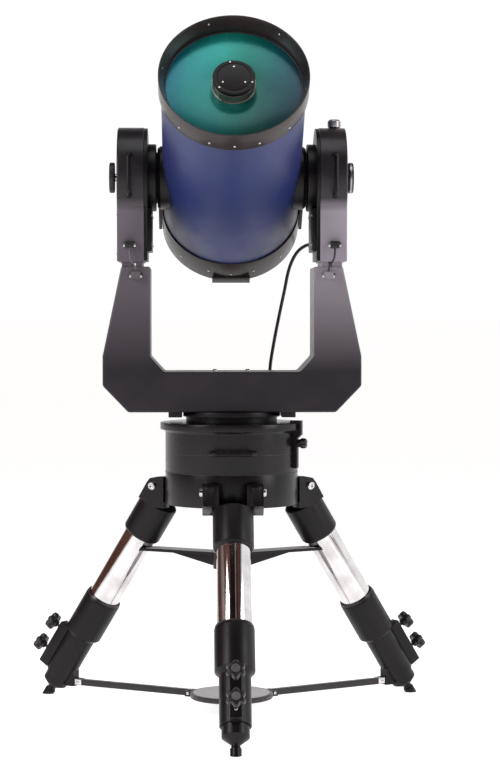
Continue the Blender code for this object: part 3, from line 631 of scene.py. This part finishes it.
def screw_profile(r, h):
    """Socket-head screw."""
    return [(0.0, -0.5), (r, -0.5), (r, h * 0.7), (r * 0.8, h), (r * 0.5, h), (r * 0.42, h * 0.35),
            (0.0, h * 0.35)]


def screws(name, body, places, r, h, mat="steel"):
    """Screw heads at (place, direction) pairs in metres."""
    bm = bmesh.new()
    for place, direction in places:
        lathe_mesh(bm, screw_profile(r, h), 16, at(place, direction))
    obj = solid(bm, name, mat)
    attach(obj, body)
    return obj


def curve_piece(name, route, radius, mat, sides=4):
    """Round cord or bar as a curve along points in millimetres."""
    data = bpy.data.curves.new(name, "CURVE")
    data.dimensions = "3D"
    data.bevel_depth = radius * MM
    data.bevel_resolution = sides
    data.use_fill_caps = True
    line = data.splines.new("POLY")
    line.points.add(len(route) - 1)
    for point, place in zip(line.points, route):
        point.co = (place[0] * MM, place[1] * MM + AXIS.y, place[2] * MM, 1.0)
    obj = bpy.data.objects.new(name, data)
    bpy.context.scene.collection.objects.link(obj)
    data.materials.append(MATS[mat])
    return obj


def smooth_route(points, step):
    """Even points about one step apart on a smooth curve through the route points."""
    knots = [Vector(p) for p in points]
    knots = [2 * knots[0] - knots[1]] + knots + [2 * knots[-1] - knots[-2]]
    fine = []
    for i in range(1, len(knots) - 2):
        p0, p1, p2, p3 = knots[i - 1:i + 3]
        for k in range(40):
            t = k / 40.0
            fine.append(0.5 * (
                2 * p1 + (p2 - p0) * t + (2 * p0 - 5 * p1 + 4 * p2 - p3) * t * t
                + (3 * p1 - p0 - 3 * p2 + p3) * t ** 3
            ))
    fine.append(knots[-2])
    total = sum((b - a).length for a, b in zip(fine, fine[1:]))
    count = max(2, round(total / step))
    even = [fine[0]]
    gone = 0.0
    for a, b in zip(fine, fine[1:]):
        span = (b - a).length
        while len(even) < count and gone + span >= total * len(even) / count:
            even.append(a.lerp(b, (total * len(even) / count - gone) / span))
        gone += span
    even.append(fine[-1])
    return even, total * MM


def bar_route(half, reach, back, bend):
    """Flat U route of a grab handle as (along, out) pairs."""
    route = [(-half, back)]
    for k in range(9):
        a = math.radians(11.25 * k)
        route.append((-half + bend * (1 - math.cos(a)), reach - bend + bend * math.sin(a)))
    for k in range(8, -1, -1):
        a = math.radians(11.25 * k)
        route.append((half - bend * (1 - math.cos(a)), reach - bend + bend * math.sin(a)))
    route.append((half, back))
    return route


# --- cords ------------------------------------------------------------------------

def make_cords():
    """The cable behind the fork and the two short leads on the front of the arms."""
    start = FORK_Y + 26.6
    route = [
        (300.0, start, 1470.0), (300.0, start + 14, 1470.0), (300.0, start + 28, 1470.0),
        (284.0, start + 78, 1480.0), (252.0, start + 118, 1480.0), (219.0, start + 136, 1456.0),
        (194.0, start + 138, 1404.0), (178.0, start + 137, 1330.0), (161.0, start + 134, 1250.0),
        (145.0, start + 126, 1170.0), (132.0, start + 106, 1096.0), (127.0, start + 72, 1040.0),
        (126.0, start + 28, 1014.0), (126.0, start + 14, 1014.0), (126.0, start, 1014.0),
    ]
    points, length = smooth_route(route, 14.0)
    cable = swap(curve_piece("fork_cable_jacket", points, 5.5, "cord", 6), "fork", "fork_cable")
    for name, side, mat in (("left", -1, "greycord"), ("right", 1, "cord")):
        y = -FORK_Y - 18.0
        route = [
            (316.0 * side, y, 1456.7), (316.0 * side, y - 1, 1446.0), (313.0 * side, y - 4, 1425.0),
            (303.0 * side, y - 4, 1408.0), (297.5 * side, y - 1, 1396.0), (297.0 * side, y, 1385.3),
        ]
        points, length = smooth_route(route, 6.0)
        lead = swap(curve_piece("jumper_" + name + "_jacket", points, 3.0, mat, 5), "fork",
                    "jumper_lead_" + name)


# --- optical tube ---------------------------------------------------------------------

def around_tube(r, s, angle):
    """Place and outward direction on the tube; angle 0 is underneath, positive to the right."""
    a = math.radians(angle)
    out = Vector((math.sin(a), -math.cos(a), 0))
    frame_now = tube_matrix()
    place = frame_now @ (Vector((out.x * r, out.y * r, s)) * MM)
    return place, frame_now.to_3x3() @ out


def make_tube():
    m = tube_matrix()
    swap(lathe("tube_shell", [(TUBE_R - 3.5, TUBE_REAR_S), (TUBE_R, TUBE_REAR_S), (TUBE_R, 451.0),
                              (TUBE_R - 3.5, 451.0)], "blue", m, 0.6, 160),
         "ota", "optical_tube")
    cell = [
        (TUBE_R + GAP, 449.0), (CELL_R, 449.0), (CELL_R, MOUTH_S), (219.8, MOUTH_S), (GLASS_R + GAP, 480.0),
        (GLASS_R + GAP, GLASS_S - GAP), (198.0, GLASS_S - GAP), (198.0, 451.3), (TUBE_R + GAP, 451.3),
    ]
    swap(lathe("front_cell_ring", cell, "cell", m, 1.6, 180), "ota", "front_cell")
    swap(lathe("corrector_glass", [(59.0, GLASS_S), (GLASS_R, GLASS_S), (GLASS_R, 462.0), (59.0, 462.0)],
               "glass", m, 0.5, 160),
         "ota", "corrector_plate")
    swap(lathe("corrector_ring", [(201.0, 462.3), (GLASS_R, 462.3), (GLASS_R, 466.3), (202.5, 466.3)],
               "plastic", m, 0.5, 160),
         "ota", "corrector_retainer")
    rear = [
        (32.0, REAR_S), (208.0, REAR_S), (REAR_R, -255.0), (REAR_R, TUBE_REAR_S - GAP),
        (211.0, TUBE_REAR_S - GAP), (211.0, -257.0), (32.0, -257.0),
    ]
    shell = lathe("rear_cell_shell", rear, "cell", m, 2.0, 180)
    swap(shell, "ota", "rear_cell")
    bm = bmesh.new()
    box_mesh(bm, (-60.0, 60.0), (-223.0, -214.5), (-261.0, -230.0), m, 1.5)
    trim(solid(bm, "rear_cell_foot", "cell"), "ota")
    port = [
        (PORT_R, -300.3), (41.0, -300.3), (41.0, -282.3), (50.0, -280.3), (50.0, REAR_S - GAP),
        (PORT_R, REAR_S - GAP),
    ]
    swap(lathe("rear_port", port, "satin", m, 0.8, 72), "ota", "visual_back")
    thread = bmesh.new()
    for k in range(7):
        z = -299.0 + 2.3 * k
        lathe_mesh(thread, [(41.0, z), (41.7, z + 0.6), (41.0, z + 1.2), (40.6, z + 0.6)], 64, m)
    trim(solid(thread, "rear_port_thread", "satin"), "ota")


def make_tube_screws():
    angles = (0, 19, -19, 46, -46, 72, -72, 108, -108, 134, -134, 161, -161, 180)
    spots = [around_tube(CELL_R, 468.0, a) for a in angles]
    screws("front_cell_screws", "ota", spots, 3.6, 1.6)
    spots = [around_tube(TUBE_R, 443.0, a) for a in (0, 90, -90, 180)]
    screws("tube_screws", "ota", spots, 2.6, 1.2)
    spots = [around_tube(REAR_R, -214.0, a) for a in angles]
    screws("rear_cell_screws", "ota", spots, 3.4, 1.5)
    spots = []
    for a in (-20, 40, 100, 160, 220, 280):
        place, out = around_tube(213.6, 501.0, 180 - a)
        forward = tube_matrix().to_3x3() @ Vector((0, 0, 1))
        spots.append((place, (-out + forward * 0.33).normalized()))
    screws("front_cell_inner_screws", "ota", spots, 2.8, 1.2)


def make_secondary():
    m = tube_matrix()
    body = [
        (54.0, 434.0), (58.4, 434.0), (58.4, 462.3), (65.0, 462.3), (65.0, 463.6), (SECONDARY_R, 464.0),
        (SECONDARY_R, 489.0),
        (62.0, 490.0), (62.0, 492.0), (0.0, 492.0), (0.0, 480.0), (54.0, 480.0),
    ]
    swap(lathe("secondary_holder", body, "darkmetal", m, 0.5, 96), "ota", "secondary_housing")
    cap = [
        (0.0, 492.3), (61.6, 492.3), (61.6, 494.0), (SECONDARY_R, 494.6), (SECONDARY_R, 505.6),
        (61.4, 507.0), (50.5, 507.0),
        (50.5, 504.8), (48.5, 504.8), (48.5, 508.0), (0.0, 508.0),
    ]
    swap(lathe("secondary_cover", cap, "casting", m, 0.5, 96), "ota", "secondary_cap")
    ring = bmesh.new()
    lathe_mesh(ring, [(63.1, 489.4), (63.7, 489.4), (63.7, 490.8), (63.1, 490.8)], 96, m)
    trim(solid(ring, "secondary_edge", "satin"), "ota")
    forward = m.to_3x3() @ Vector((0, 0, 1))
    spots = []
    for r, s, angles in ((38.0, 508.0, (90, 210, 330)), (57.0, 507.0, (101, 221, 341))):
        for a in angles:
            a = math.radians(a)
            spots.append((m @ (Vector((r * math.cos(a), r * math.sin(a), s)) * MM), forward))
    screws("collimation_screws", "ota", spots, 2.6, 1.4)


# --- fork castings ---------------------------------------------------------------------

def make_arms():
    """Hollow arm castings, their inner covers with bearing hubs, and the saddles on the tube."""
    pz = PIVOT.z / MM
    fillet = ((ARM_OUT - 5.0, 0.0), (ARM_OUT - 3.0, 0.5), (ARM_OUT - 1.2, 1.6), (ARM_OUT - 0.3, 3.0),
              (ARM_OUT, 5.0))
    for name, side in (("left", -1), ("right", 1)):
        # the left arm takes the painted-shade copy, the right arm the painted-light copy
        mat = "arm_l" if side < 0 else "arm_r"
        bm = bmesh.new()
        steps = [(ARM_OUT - 9.0, 10.0), (ARM_IN, 10.0), (ARM_IN, 1.2), (ARM_IN + 1.2, 0.0)] + list(fillet)
        prism_mesh(bm, [arm_loop(x * side, inset) for x, inset in steps], axis_matrix())
        if side > 0:
            gland = [(0.0, 6.0), (11.0, 6.0), (11.0, -22.0), (9.0, -26.0), (0.0, -26.0)]
            lathe_mesh(bm, gland, 32, at(Vector((300.0, FORK_Y, 1470.0)) * MM + AXIS, (0, -1, 0)))
            boss = [(5.6, -3.0), (15.0, -3.0), (15.0, 1.5), (5.6, 1.5)]
            lathe_mesh(bm, boss, 40, Matrix.Translation(Vector((322.0, 0, pz + HOUSING_R)) * MM + AXIS))
        swap(solid(bm, "arm_casting_" + name, mat), "fork", "arm_" + name)
        cover = bmesh.new()
        steps = [(271.5, 2.0), (262.5, 2.0), (261.4, 2.6), (261.0, 4.0)]
        loops = [arm_loop(x * side, inset, low=ARM_LOW + 2.0) for x, inset in steps]
        prism_mesh(cover, loops, axis_matrix())
        box_mesh(cover, sorted((248.0 * side, 261.5 * side)), (-112.0, 112.0), (1449.0, 1581.0),
                 axis_matrix(), 1.5)
        bore = SHAFT_R + 1.0
        hub = [(bore, 261.5), (bore, 235.0), (HUB_R - 2.0, 235.0), (HUB_R, 237.0), (HUB_R, 261.5)]
        lathe_mesh(cover, rounded(hub, 1.0), 120, side_matrix(side))
        swap(solid(cover, "arm_lid_" + name, "casting"), "fork", "arm_cover_" + name)
        make_saddle(name, side)


def make_saddle(name, side):
    """Round bearing flange on the side of the tube, with its shaft and the bar to the rear cell."""
    m = tube_matrix() @ Matrix.Rotation(math.radians(90 * side), 4, "Y")
    bm = bmesh.new()
    profile = [(0.0, 216.0), (52.0, 216.0), (99.0, 191.0), (99.0, 222.0), (92.0, 231.0), (80.0, 231.0),
               (80.0, 234.4),
               (SHAFT_R, 234.4), (SHAFT_R, 334.0), (0.0, 334.0)]
    lathe_mesh(bm, rounded(profile, 1.0), 120, m)
    box_mesh(bm, sorted((219.6 * side, 230.0 * side)), (-19.0, 19.0), (-258.0, -60.0), tube_matrix(), 2.0)
    swap(solid(bm, "saddle_flange_" + name, "casting"), "ota", "saddle_" + name)


# --- fork details -----------------------------------------------------------------------

def handle(name, body, node, route, mat, ends):
    """Grab bar with a small round foot at each end."""
    bm = bmesh.new()
    for place, direction in ends:
        lathe_mesh(bm, rounded([(0.0, -6.0), (10.0, -6.0), (10.0, 1.5), (7.5, 4.0), (0.0, 4.0)], 0.8), 32,
                   at(place, direction))
    trim(solid(bm, name + "_feet", mat), body)
    bar = curve_piece(name + "_bar", route, 6.5, mat, 6)
    swap(bar, body, node)


def make_handles():
    for name, side in (("left", -1), ("right", 1)):
        x = 317.0 * side
        pz = PIVOT.z / MM
        route = [(x, -out, pz + along) for along, out in bar_route(62.0, 196.0, 146.0, 16.0)]
        ends = [(Vector((x, -143.5, pz + z)) * MM + AXIS, (0, -0.93,
                                                           0.36 if z > 0 else -0.36)) for z in (-62, 62)]
        handle("arm_handle_" + name, "fork", "arm_handle_" + name, route, "casting", ends)
    route = [(along, -out, BASE_HANDLE_Z) for along, out in bar_route(68.0, 246.0, 199.0, 18.0)]
    ends = [(Vector((x, -197.5, BASE_HANDLE_Z)) * MM + AXIS, (x / DRUM_R, -0.945, 0)) for x in (-68, 68)]
    handle("base_handle", "base", "base_handle", route, "casting", ends)


def make_wheels():
    """Altitude hand wheels, their bright spindles and the slow-motion knob."""
    for name, side in (("left", -1), ("right", 1)):
        m = side_matrix(side)
        body = [(0.0, 365.0), (45.0, 365.0), (47.0, 367.0), (47.0, 380.0), (44.0, 382.0), (12.0, 382.0),
                (10.0, 380.0), (0.0, 380.0)]
        bm = bmesh.new()
        lathe_mesh(bm, rounded(body, 1.0), 72)
        for k in range(48):
            a = 2 * math.pi * k / 48
            turn = Matrix.Rotation(a, 4, "Z")
            box_mesh(bm, (46.2, 47.6), (-1.2, 1.2), (368.5, 378.5), turn, 0.3)
        wheel = solid(bm, "hand_wheel_" + name, "plastic", m)
        swap(wheel, "altitude_hand_wheel_" + name, "altitude_hand_wheel_" + name)
        spindle = lathe("spindle_" + name, [(0.0, 355.2), (12.0, 355.2), (12.0, 365.5), (0.0, 365.5)],
                        "steel", m, 0.5, 40)
        trim(spindle, "altitude_hand_wheel_" + name)
        if side > 0:
            band = bmesh.new()
            lathe_mesh(band, [(47.2, 371.0), (48.1, 371.0), (48.1, 376.0), (47.2, 376.0)], 96, m)
            wheel_name = "altitude_hand_wheel_" + name
            trim(solid(band, "hand_wheel_band", "satin"), wheel_name)
    top = PIVOT.z / MM + HOUSING_R + 1.8
    m = axis_matrix() @ Matrix.Translation((0.322, 0, 0))
    knob = [(0.0, top - 7), (4.0, top - 7), (4.0, top), (19.0, top), (20.0, top + 1), (20.0, top + 20),
            (17.0, top + 23), (0.0, top + 23)]
    bm = bmesh.new()
    lathe_mesh(bm, rounded(knob, 0.8), 64)
    for k in range(40):
        turn = Matrix.Rotation(2 * math.pi * k / 40, 4, "Z")
        box_mesh(bm, (19.4, 20.5), (-0.8, 0.8), (top + 3, top + 17), turn, 0.2)
    obj = solid(bm, "slow_motion_grip", "satin", m)
    swap(obj, "slow_motion_knob", "slow_motion_knob")
    lid = lathe("slow_motion_lid", [(0.0, top + 22.6), (16.0, top + 22.6), (15.5, top + 24.6),
                                    (0.0, top + 25.0)], "plastic", m, 0.4, 48)
    trim(lid, "slow_motion_knob")


def make_connectors():
    """Metal shells and thumb screws of the four plugs on the front of the fork."""
    metal = bmesh.new()
    hoods = bmesh.new()
    for side in (-1, 1):
        for x, z in (PLUG_HIGH, PLUG_LOW):
            x = x * side
            m = axis_matrix()
            if (abs(x), z) == PLUG_HIGH:
                box_mesh(hoods, (x - 17.0, x + 17.0), (-FORK_Y - 10.0, -FORK_Y + 0.5), (z - 9.0, z + 9.0),
                         m, 1.0)
                box_mesh(hoods, (x - 14.0, x + 14.0), (-FORK_Y - 28.0, -FORK_Y - 8.0), (z - 11.0, z + 11.0),
                         m, 2.0)
            box_mesh(metal, (x - 19.5, x + 19.5), (-FORK_Y - 11.6, -FORK_Y - 9.4), (z - 7.0, z + 7.0), m,
                     0.8)
            for dx in (-16.0, 16.0):
                place = Vector((x + dx, -FORK_Y - 11.0, z)) * MM + AXIS
                lathe_mesh(metal, screw_profile(2.6, 9.0), 14, at(place, (0, -1, 0)))
    trim(solid(metal, "plug_shells", "steel"), "fork")
    trim(solid(hoods, "plug_hoods", "plastic"), "fork")


def make_fork_screws():
    spots = [(Vector((x, y, FORK_BAR_TOP)) * MM + AXIS, (0, 0, 1)) for x in (-52.0, 52.0) for y in (-60.0,
                                                                                                    60.0)]
    screws("fork_bar_bolts", "fork", spots, 7.0, 5.0, "steel")
    spots = []
    for side in (-1, 1):
        for y in (-95.0, 95.0):
            spots.append((Vector((248.0 * side, y, 1470.0)) * MM + AXIS, (-side, 0, 0)))
            spots.append((Vector((248.0 * side, y, 1560.0)) * MM + AXIS, (-side, 0, 0)))
        for y in (-100.0, 100.0):
            for z in (1440.0, 1560.0):
                spots.append((Vector((ARM_OUT * side, y, z)) * MM + AXIS, (side, 0, 0)))
    screws("arm_screws", "fork", spots, 4.0, 2.0)


# --- base and tripod ----------------------------------------------------------------------

def make_base():
    m = axis_matrix()
    drum = [
        (200.0, HEAD_TOP_Z + GAP), (DRUM_R, HEAD_TOP_Z + GAP), (DRUM_R, DRUM_TOP_Z - 8.0), (212.0, 893.0),
        (FLANGE_R, DRUM_TOP_Z), (FLANGE_R, FLANGE_TOP_Z), (65.0, FLANGE_TOP_Z),
        (65.0, 850.0), (78.0, 850.0), (78.0, 900.0), (200.0, 900.0),
    ]
    swap(lathe("drive_housing", drum, "drum", m, 1.8, 180), "base", "drive_base_housing")
    table = [
        (0.0, 800.0), (40.0, 800.0), (40.0, 849.0), (64.0, 849.0), (64.0, FLANGE_TOP_Z + GAP),
        (143.0, FLANGE_TOP_Z + GAP), (143.0, 934.0),
        (152.0, 934.0), (152.0, 950.7), (0.0, 950.7),
    ]
    swap(lathe("turntable_ring", table, "casting", m, 1.2, 128), "fork", "turntable")
    head = [
        (9.0, HEAD_TOP_Z - 12.0), (198.0, HEAD_TOP_Z - 12.0), (198.0, HEAD_LOW_Z), (DRUM_R, HEAD_LOW_Z),
        (DRUM_R, HEAD_TOP_Z), (9.0, HEAD_TOP_Z),
    ]
    bm = bmesh.new()
    lathe_mesh(bm, rounded(head, 2.0), 180, m)
    lug = [(194.0, 642.0), (242.0, 642.0), (288.0, 674.0), (258.0, 722.0), (246.0, 736.0), (214.0, 742.0),
           (194.0, 742.0)]
    for angle in LEG_ANGLES:
        for low, high in ((56.0, 93.0), (-93.0, -56.0)):
            steps = ((low, 0.97), (low + 2, 1.0), (high - 2, 1.0), (high, 0.97))
            loops = [[(236.0 + (x - 236.0) * k, y, 694.0 + (z - 694.0) * k) for x, z in lug] for y,
                     k in steps]
            prism_mesh(bm, loops, spin_matrix(angle))
    swap(solid(bm, "tripod_head_casting", "drum"), "base", "tripod_head")
    spots = []
    for angle in LEG_ANGLES:
        spin = spin_matrix(angle)
        for t in (-93.0, 93.0):
            away = spin.to_3x3() @ Vector((0, 1 if t > 0 else -1, 0))
            spots.append((spin @ (Vector((235.0, t, 712.0)) * MM), away))
    screws("hinge_bolts", "base", spots, 13.0, 9.0)
    seam = bmesh.new()
    lathe_mesh(seam, [(207.2, 820.4), (208.25, 820.4), (208.25, 821.2), (207.2, 821.2)], 160, m)
    lathe_mesh(seam, [(206.0, 761.0), (208.9, 760.6), (208.9, 762.0), (206.0, 761.8)], 160, m)
    trim(solid(seam, "drum_seams", "plastic"), "base")


def lobed_ring(bm, radius, depth, lobes, z, scale, count=72):
    ring = []
    for k in range(count):
        a = 2 * math.pi * k / count
        wave = 0.5 * (1 - math.cos(lobes * a))
        r = (radius - depth * wave ** 1.5) * scale
        ring.append(bm.verts.new((r * math.cos(a) * MM, r * math.sin(a) * MM, z * MM)))
    return ring


def lobed_body(bm, radius, depth, lobes, z0, z1, matrix):
    """Star knob body with crowned lobes."""
    span = z1 - z0
    layers = [(0.0, 0.80), (0.10, 0.93), (0.25, 1.0), (0.7, 1.0), (0.88, 0.94), (1.0, 0.8)]
    rings = [lobed_ring(bm, radius, depth, lobes, z0 + span * t, k) for t, k in layers]
    for a, b in zip(rings, rings[1:]):
        for k in range(len(a)):
            n = (k + 1) % len(a)
            bm.faces.new([a[k], a[n], b[n], b[k]])
    bm.faces.new(rings[0][::-1])
    bm.faces.new(rings[-1])
    bmesh.ops.transform(bm, matrix=matrix, verts=[v for ring in rings for v in ring])


def star_knob(name, body, node, matrix, radius, depth, z0, z1, stem_low, stem_r, cap_r):
    bm = bmesh.new()
    lobed_body(bm, radius, depth, 6, z0, z1, matrix)
    lathe_mesh(bm, rounded([(0.0, stem_low), (stem_r, stem_low), (stem_r, z0 - 12), (stem_r * 2.4, z0 - 8),
                            (stem_r * 2.6, z0 + 3), (0.0, z0 + 3)], 0.6), 32, matrix)
    swap(solid(bm, name, "plastic"), body, node)
    cap = bmesh.new()
    lathe_mesh(cap, rounded([(0.0, z1 - 1), (cap_r, z1 - 1), (cap_r, z1 + 2.4), (cap_r - 3, z1 + 3.4),
                             (cap_r - 4, z1 + 1.6), (0.0, z1 + 1.6)], 0.4), 40, matrix)
    trim(solid(cap, name + "_cap", "greycord"), body)


def make_leg_castings(index):
    """Leg head with its hinge ears, lower sleeve with the knob rail, and the sliding leg."""
    n = index + 1
    m = leg_matrix(index)
    bm = bmesh.new()
    head = [(SOCKET_R, 657.0), (58.0, 657.0), (LEG_HEAD_R, 664.0), (LEG_HEAD_R, 781.0), (59.0, 784.0),
            (0.0, 784.0), (0.0, 725.0), (SOCKET_R, 725.0)]
    lathe_mesh(bm, rounded(head, 1.6), 96, m)
    ear = [(-18.0, 772.0), (26.0, 772.0), (26.0, 856.0), (22.0, 866.0), (14.0, 872.0), (-2.0, 872.0),
           (-18.0, 856.0)]
    for low, high in ((-55.5, -43.0), (43.0, 55.5)):
        prism_mesh(bm, [[(h, t, s) for h, s in ear] for t in (low, high)], m)
    swap(solid(bm, "leg_cap_%d" % n, "casting"), "base", "leg_head_%d" % n)
    bm = bmesh.new()
    sleeve = [(42.0, 87.0), (47.0, 87.0), (47.0, 244.0), (SLEEVE_R, 258.0), (SLEEVE_R, 392.0),
              (56.0, 401.0),
              (SOCKET_R, 401.0),
              (SOCKET_R, 300.0), (42.0, 300.0)]
    lathe_mesh(bm, rounded(sleeve, 1.6), 96, m)
    box_mesh(bm, (45.0, 82.0), (-18.0, 18.0), (81.0, 240.0), m, 3.0)
    wedge = [(584.0, 34.0), (622.0, 34.0), (588.0, 86.0), (584.0, 86.0)]
    prism_mesh(bm, [[(r, t, z) for r, z in wedge] for t in (-17.0, 17.0)], spin_matrix(LEG_ANGLES[index]))
    swap(solid(bm, "lower_sleeve_%d" % n, "casting"), "base", "leg_sleeve_%d" % n)
    bm = bmesh.new()
    slide = [(37.0, 430.0), (37.0, 70.0), (0.0, 60.0), (0.0, -30.0), (17.0, -30.0), (17.0, 20.0),
             (13.0, 25.0),
             (14.0, 32.0), (SLIDE_R, 54.0), (SLIDE_R, 430.0)]
    lathe_mesh(bm, rounded(slide, 1.0), 72, m)
    whole = list(bm.verts) + list(bm.edges) + list(bm.faces)
    sliced = bmesh.ops.bisect_plane(bm, geom=whole, plane_co=(0, 0, 0), plane_no=(0, 0, 1),
                                    clear_inner=True)
    rim = [e for e in sliced["geom_cut"] if isinstance(e, bmesh.types.BMEdge)]
    bmesh.ops.edgeloop_fill(bm, edges=rim)
    swap(solid(bm, "sliding_leg_%d" % n, "casting"), "leg_extension_%d" % n, "leg_extension_%d" % n)


def make_clamp():
    """Slim clamp bracket hooked over the flange, with a bright pin."""
    hook = [(208.6, 775.0), (219.0, 775.0), (221.0, 778.0), (221.0, 868.0), (234.0, 880.0), (234.0, 924.0),
            (198.0, 924.0),
            (198.0, FLANGE_TOP_Z + 0.4), (224.8, FLANGE_TOP_Z + 0.4), (224.8, 893.5), (208.6, 893.5)]
    bm = bmesh.new()
    prism_mesh(bm, [[(r, t, z) for r, z in hook] for t in (-8.0, 8.0)], spin_matrix(CLAMP_ANGLE))
    swap(solid(bm, "clamp_hook", "casting"), "base", "azimuth_clamp_bracket")
    pin = lathe("clamp_pin", [(0.0, 249.0), (5.0, 249.0), (5.0, 253.0), (0.0, 253.0)], "steel",
                clamp_matrix(), 0.6, 24)
    trim(pin, "azimuth_clamp_knob")


def make_spreaders():
    """Pale tray top, pale plates on the upper spreader and the steel brackets of the lower bars."""
    m = axis_matrix()
    top = lathe("tray_top", [(0.0, TRAY_Z), (121.0, TRAY_Z), (121.0, TRAY_Z + 0.7), (0.0, TRAY_Z + 0.7)],
                "tray", m, 0.2, 96)
    trim(top, "base")
    plates = bmesh.new()
    for angle in LEG_ANGLES:
        box_mesh(plates, (58.0, 296.0), (-33.0, 33.0), (SPREADER_Z, SPREADER_Z + 0.7), spin_matrix(angle),
                 0.2)
    lathe_mesh(plates, [(9.0, SPREADER_Z), (57.0, SPREADER_Z), (57.0, SPREADER_Z + 0.7),
                        (9.0, SPREADER_Z + 0.7)], 64, m)
    trim(solid(plates, "upper_plates", "tray"), "base")
    steel = bmesh.new()
    for angle in LEG_ANGLES:
        spin = spin_matrix(angle)
        for y in ((-13.4, -10.2), (10.2, 13.4)):
            box_mesh(steel, (556.0, 583.0), y, (40.0, 60.0), spin, 0.6)
            out = 1 if y[0] > 0 else -1
            for r in (140.0, 566.0):
                t = 24.0 if r < 300 else 13.4
                spot = spin @ (Vector((r + 6.0, t * out, 49.0)) * MM)
                lathe_mesh(steel, screw_profile(5.0, 3.4), 16, at(spot,
                                                                  spin.to_3x3() @ Vector((0, out, 0))))
    trim(solid(steel, "bar_brackets", "steel"), "base")


def make_legs():
    for index in range(3):
        n = index + 1
        m = leg_matrix(index)
        tube = [(49.0, 301.0), (LEG_TUBE_R, 301.0), (LEG_TUBE_R, 724.0), (49.0, 724.0)]
        swap(lathe("chrome_tube_%d" % n, tube, "chrome", m, 0.4, 96), "base", "leg_tube_%d" % n)
        for word, s in (("low", KNOB_LOW_S), ("high", KNOB_HIGH_S)):
            out = m @ Matrix.Translation((0, 0, s * MM)) @ Matrix.Rotation(math.radians(90), 4, "Y")
            node = "leg_knob_%d_%s" % (n, word)
            star_knob("star_knob_%d_%s" % (n, word), node, node, out, 30.0, 7.5, 105.0, 127.0, 54.0, 5.0,
                      13.0)
        bolts = []
        for s, h in ((108.0, 82.0), (171.0, 82.0)):
            bolts.append((m @ (Vector((h, 0, s)) * MM), m.to_3x3() @ Vector((1, 0, 0))))
        screws("leg_bolts_%d" % n, "base", bolts, 5.0, 3.2)
        make_leg_castings(index)
        rims = bmesh.new()
        lathe_mesh(rims, [(51.9, 396.0), (57.4, 396.0), (58.6, 398.6), (57.0, 402.6), (51.9, 402.6)], 96, m)
        trim(solid(rims, "sleeve_collar_%d" % n, "plastic"), "base")


def make_small_knobs():
    m = axis_matrix()
    star_knob("tension_star", "tension_knob", "tension_knob",
              m @ Matrix.Translation((0, 0, 0.8817)) @ Matrix.Rotation(math.pi, 4, "X"),
              46.0, 9.0, 428.0, 453.7, 428.0, 10.0, 18.0)
    star_knob("clamp_star", "azimuth_clamp_knob", "azimuth_clamp_knob", clamp_matrix(), 16.0, 2.6, 229.0,
              249.0, 213.0, 5.0, 8.0)


# --- CAD nodes that keep their shape -----------------------------------------------------------

KEPT = {
    "fork": ("fork_base",),
    "casting": ("upper_spreader",),
    "plastic": ("focus_knob", "baffle_tube", "spreader_disc", "spreader_bar_1", "spreader_bar_2",
                "spreader_bar_3"),
    "satin": ("azimuth_worm_wheel", "altitude_worm_wheel"),
    "steel": ("draw_rod",),
    "mirror": ("primary_mirror", "secondary_mirror"),
}


def dress_nodes():
    for mat, nodes in KEPT.items():
        for node in nodes:
            data = frame["nodes"][node].data
            data.materials.clear()
            data.materials.append(MATS[mat])


bpy.context.scene.view_settings.view_transform = "Standard"
make_camera()
make_materials()
make_cords()
make_studio()
make_tube()
make_tube_screws()
make_secondary()
make_arms()
make_handles()
make_wheels()
make_connectors()
make_fork_screws()
make_base()
make_legs()
make_spreaders()
make_clamp()
make_small_knobs()
dress_nodes()
